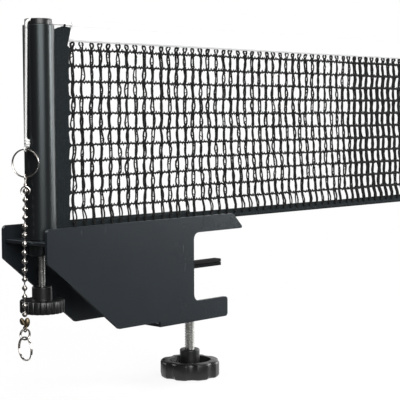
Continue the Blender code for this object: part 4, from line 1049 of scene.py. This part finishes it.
class NETCLAMP_OT_net_cloth(NetClampOperator):
    """Sews the white tape, the bottom hem and the woven band at the net's end"""

    bl_idname = "netclamp.net_cloth"
    bl_label = "Tape, hem and end band"

    def execute(self, context):
        sizes = context.scene.net_clamp_sizes
        self.tape(sizes)
        self.hem(sizes)
        self.band(sizes)
        return {"FINISHED"}

    def thicken(self, item, thickness):
        """Gives a sheet its thickness, half to each side."""
        step = item.modifiers.new("cloth", "SOLIDIFY")
        step.thickness = thickness
        step.offset = 0.0

    def tape(self, sizes):
        """The white tape, folded over the tension cord, with its end sewn at a slant."""
        shape = folded_strip(TAPE_LOW, CORD_Z, 0.00154, 0.0003)
        for corner in shape.verts:
            near = max(0.0, 1.0 - (corner.co.x - NET_START) / 0.006)
            corner.co.x -= SLANT * near * (TAPE_TOP - corner.co.z)
        tape = make_piece("net_tape_cloth", shape, "tape_cloth", "post",
                          ["net_top_tape"], smooth=80.0)
        self.thicken(tape, sizes.cloth)
        self.stitches(sizes.stitch)

    def stitches(self, length):
        """Two seams on each side of the tape, at its free edge and under the cord."""
        sunk = 0.0002
        runs = []
        for z in (TAPE_LOW + 0.0016, CORD_Z - 0.0030):
            for side in (-1.0, 1.0):
                x = NET_START + 0.0015
                while x < NET_END - 0.003:
                    y = side * 0.00088 + 0.0003 * wobble(x * 34.0, 3.0, z * 25.0)
                    runs.append([(x, y - side * sunk, z), (x + length * 0.16, y, z),
                                 (x + length * 0.5, y, z), (x + length * 0.66, y - side * sunk, z)])
                    x += length
        make_piece("tape_stitches", swept(runs, 0.00016, 0), "tape_cloth", "post",
                   smooth=80.0)

    def hem(self, sizes):
        """The black hem, folded under the bottom cord."""
        shape = folded_strip(HEM_TOP, HEM_CORD_Z, 0.00115, 0.0002)
        hem = make_piece("net_hem_cloth", shape, "hem_webbing", "post",
                         ["net_bottom_hem"], smooth=80.0)
        self.thicken(hem, sizes.cloth)

    def band(self, sizes):
        """Woven band from the rod's sleeve to a ragged edge that the rows draw out."""
        luck = random.Random(11)
        notches = [(luck.uniform(-0.1192, -0.1171), luck.uniform(-0.1192, -0.1171))
                   for _ in range(ROWS + 2)]
        top = max(z for _, z in BAND_ROOF)
        shape = bmesh.new()
        bmesh.ops.create_grid(shape, x_segments=16, y_segments=150, size=0.5)
        for corner in shape.verts:
            u, v = corner.co.x + 0.5, corner.co.y + 0.5
            z = HEM_LOW + (top - HEM_LOW) * v
            x = BAND_LEFT + (self.edge(z, notches) - BAND_LEFT) * u
            corner.co = (x, 0.00025 * wobble(x * 90.0, 0.0, z * 60.0), min(z, self.roof(x)))
        bmesh.ops.recalc_face_normals(shape, faces=shape.faces)
        band = make_piece("net_end_band_web", shape, "band_webbing", "post",
                          ["net_end_band"], smooth=80.0)
        self.thicken(band, 0.0012)
        ends = [[(-0.1233, -0.0018, 0.1488), (-0.1229, -0.0019, 0.1500), (-0.1222, -0.0018, 0.1506)],
                [(-0.1226, -0.0018, 0.1490), (-0.1221, -0.0019, 0.1498), (-0.1214, -0.0018, 0.1500)]]
        make_piece("band_thread_ends", swept(ends, 0.00042, 1), "knitted_yarn", "post",
                   smooth=80.0)
        make_piece("net_end_sleeve", self.sleeve(), "band_webbing", "post", smooth=80.0)

    def roof(self, x):
        """Top edge of the band at x: over the rod, up to the tape's corner, and along the corner."""
        (shoulder_x, shoulder_z), (peak_x, peak_z), (end_x, end_z) = BAND_ROOF
        if x < shoulder_x:
            return ROD_TOP + 0.0038 * max(0.0, (x - BAND_LEFT) / 0.0059) ** 2
        if x < peak_x:
            return shoulder_z + (peak_z - shoulder_z) * (x - shoulder_x) / (peak_x - shoulder_x)
        return peak_z + (end_z - peak_z) * (x - peak_x) / (end_x - peak_x)

    def edge(self, z, notches):
        """Right edge of the band at a height: slanted along the tape's end, notched in each mesh."""
        if z > ROW_TOP + 0.0026:
            return NET_START - 0.0003 - SLANT * (TAPE_TOP - z)
        if z < HEM_TOP:
            return BAND_EDGE + 0.0002
        mesh, share = divmod((ROW_TOP - z) / ROW_PITCH + 1.0, 1.0)
        first, last = notches[int(mesh)]
        drawn = math.exp(-(min(share, 1.0 - share) / 0.09) ** 2)
        edge = first + (last - first) * share + 0.0003 * wobble(z * 500.0, 1.0, 0.0)
        return edge + (BAND_EDGE - edge) * drawn * 0.8

    def sleeve(self):
        """The band's round sleeve on the rod, a little shorter than the rod."""
        inner, outer, short = 0.0018, 0.0024, 0.0003
        low, high = ROD_LOW + short, ROD_TOP - short
        return spun([(inner, low), (outer, low), (outer, high), (inner, high)], ROD_X, 20)


# ---- stage -----------------------------------------------------------------------------------------
class NETCLAMP_OT_stage(NetClampOperator):
    """Sets the floor, the backdrop, the lamps, the world and the camera"""

    bl_idname = "netclamp.stage"
    bl_label = "Floor, lamps and camera"

    def execute(self, context):
        self.camera(context)
        self.floor()
        self.world(context)
        for lamp in LAMPS:
            self.lamp(*lamp)
        context.scene.view_settings.view_transform = "Standard"
        return {"FINISHED"}

    def camera(self, context):
        """The camera as it stood for the photograph."""
        view = bpy.data.cameras.new("camera")
        view.lens = CAMERA_LENS
        view.sensor_width = CAMERA_SENSOR
        view.clip_start, view.clip_end = 0.05, 50.0
        item = bpy.data.objects.new("camera", view)
        azimuth, elevation, roll = [math.radians(angle) for angle in
                                    (CAMERA_AZIMUTH, CAMERA_ELEVATION, CAMERA_ROLL)]
        back = Vector((math.sin(azimuth) * math.cos(elevation), -math.cos(azimuth) * math.cos(elevation),
                       math.sin(elevation)))
        right = Vector((math.cos(azimuth), math.sin(azimuth), 0.0))
        up = back.cross(right)
        side = math.cos(roll) * right + math.sin(roll) * up
        top = -math.sin(roll) * right + math.cos(roll) * up
        turn = Matrix((side, top, back)).transposed().to_4x4()
        item.matrix_world = Matrix.Translation(CAMERA_PLACE) @ turn
        context.scene.collection.objects.link(item)
        context.scene.camera = item

    def floor(self):
        """White paper that keeps the shadow, and that the clamp's dark sides see as a dim room."""
        shape = bmesh.new()
        bmesh.ops.create_circle(shape, cap_ends=True, segments=64, radius=FLOOR_R)
        bmesh.ops.translate(shape, vec=(0.0, 0.0, FLOOR_Z), verts=shape.verts)
        mesh = bpy.data.meshes.new("floor")
        shape.to_mesh(mesh)
        shape.free()
        item = bpy.data.objects.new("floor", mesh)
        bpy.context.scene.collection.objects.link(item)
        finish = Finish("floor_paper", roughness=0.9)
        paper = finish.mix(finish.noise(3.0, detail=2.0) * 0.3, (0.90, 0.90, 0.90), (0.86, 0.86, 0.86))
        finish.colour(finish.mix(finish.ray("Camera"), (0.06, 0.06, 0.06), paper))
        finish.bump(finish.noise(900.0), 0.00005, 0.2)
        place = finish.vectors("SUBTRACT", finish.object_place(), (-0.1, 0.0, FLOOR_Z))
        away = finish.vectors("LENGTH", place, output="Value")
        mirrored = finish.ray("Glossy") * finish.behind(place)
        seen = finish.larger(finish.ray("Camera"), finish.ray("Transmission"), mirrored)
        white = finish.node("Emission", {}, {"Color": (1.0, 1.0, 1.0), "Strength": 1.0})
        lit = Link(finish, finish.shader.outputs[0])
        surface = finish.blend(seen * (0.90 + 0.10 * away.above(0.45, 0.30)), lit, white)
        finish.feed(finish.tree.nodes["Material Output"].inputs["Surface"], surface)
        mesh.materials.append(finish.material)

    def world(self, context):
        """White where the camera looks, and where a reflection meets the backdrop behind the clamp."""
        world = bpy.data.worlds.new("studio")
        context.scene.world = world
        world.use_nodes = True
        recipe = Recipe(world.node_tree)
        soft, dim, white = [recipe.node("Background", {}, {"Color": (1.0, 1.0, 1.0), "Strength": strength})
                            for strength in (0.06, 0.04, 1.0)]
        mirrored = recipe.larger(recipe.ray("Glossy"), recipe.ray("Transmission"))
        direction = recipe.node("TexCoord", output=0)
        seen = recipe.larger(recipe.ray("Camera"), mirrored * recipe.behind(direction))
        room = recipe.blend(seen, recipe.blend(mirrored, soft, dim), white)
        recipe.feed(recipe.tree.nodes["World Output"].inputs["Surface"], room)

    def lamp(self, name, place, target, extent, brightness):
        """Softbox at a place, turned to a target. Its brightness doesn't depend on its extent."""
        light = bpy.data.lights.new(name, "AREA")
        light.shape = "RECTANGLE"
        light.size, light.size_y = extent
        light.energy = math.pi * extent[0] * extent[1] * brightness
        item = bpy.data.objects.new(name, light)
        item.location = place
        item.rotation_euler = (Vector(target) - Vector(place)).to_track_quat("-Z", "Y").to_euler()
        item.visible_camera = False
        bpy.context.scene.collection.objects.link(item)


# ---- the add-on ------------------------------------------------------------------------------------
BUILD_ORDER = (NETCLAMP_OT_rings, NETCLAMP_OT_chain, NETCLAMP_OT_cords, NETCLAMP_OT_bracket,
               NETCLAMP_OT_rubbers, NETCLAMP_OT_clamp_screw, NETCLAMP_OT_knobs,
               NETCLAMP_OT_height_screw, NETCLAMP_OT_post, NETCLAMP_OT_net_yarns,
               NETCLAMP_OT_net_cloth, NETCLAMP_OT_stage)


class NETCLAMP_PT_sidebar(bpy.types.Panel):
    """Sizes, colours and steps of the net clamp"""

    bl_idname = "NETCLAMP_PT_sidebar"
    bl_label = "Net clamp"
    bl_space_type = "VIEW_3D"
    bl_region_type = "UI"
    bl_category = "Net clamp"

    def draw(self, context):
        for group in (context.scene.net_clamp_sizes, context.scene.net_clamp_colours):
            column = self.layout.column(align=True)
            for name in group.bl_rna.properties.keys():
                if name not in ("rna_type", "name"):
                    column.prop(group, name)
        column = self.layout.column(align=True)
        for step in BUILD_ORDER:
            column.operator(step.bl_idname)


CLASSES = (NetClampSizes, NetClampColours, *BUILD_ORDER, NETCLAMP_PT_sidebar)


def register():
    """Adds the add-on's classes and its settings on the scene."""
    for item in CLASSES:
        bpy.utils.register_class(item)
    bpy.types.Scene.net_clamp_sizes = PointerProperty(type=NetClampSizes)
    bpy.types.Scene.net_clamp_colours = PointerProperty(type=NetClampColours)


def unregister():
    """Takes them away again."""
    del bpy.types.Scene.net_clamp_colours
    del bpy.types.Scene.net_clamp_sizes
    for item in reversed(CLASSES):
        bpy.utils.unregister_class(item)


def main():
    """Builds the scene."""
    register()
    for step in BUILD_ORDER:
        family, action = step.bl_idname.split(".")
        getattr(getattr(bpy.ops, family), action)()


if __name__ == "__main__":
    main()
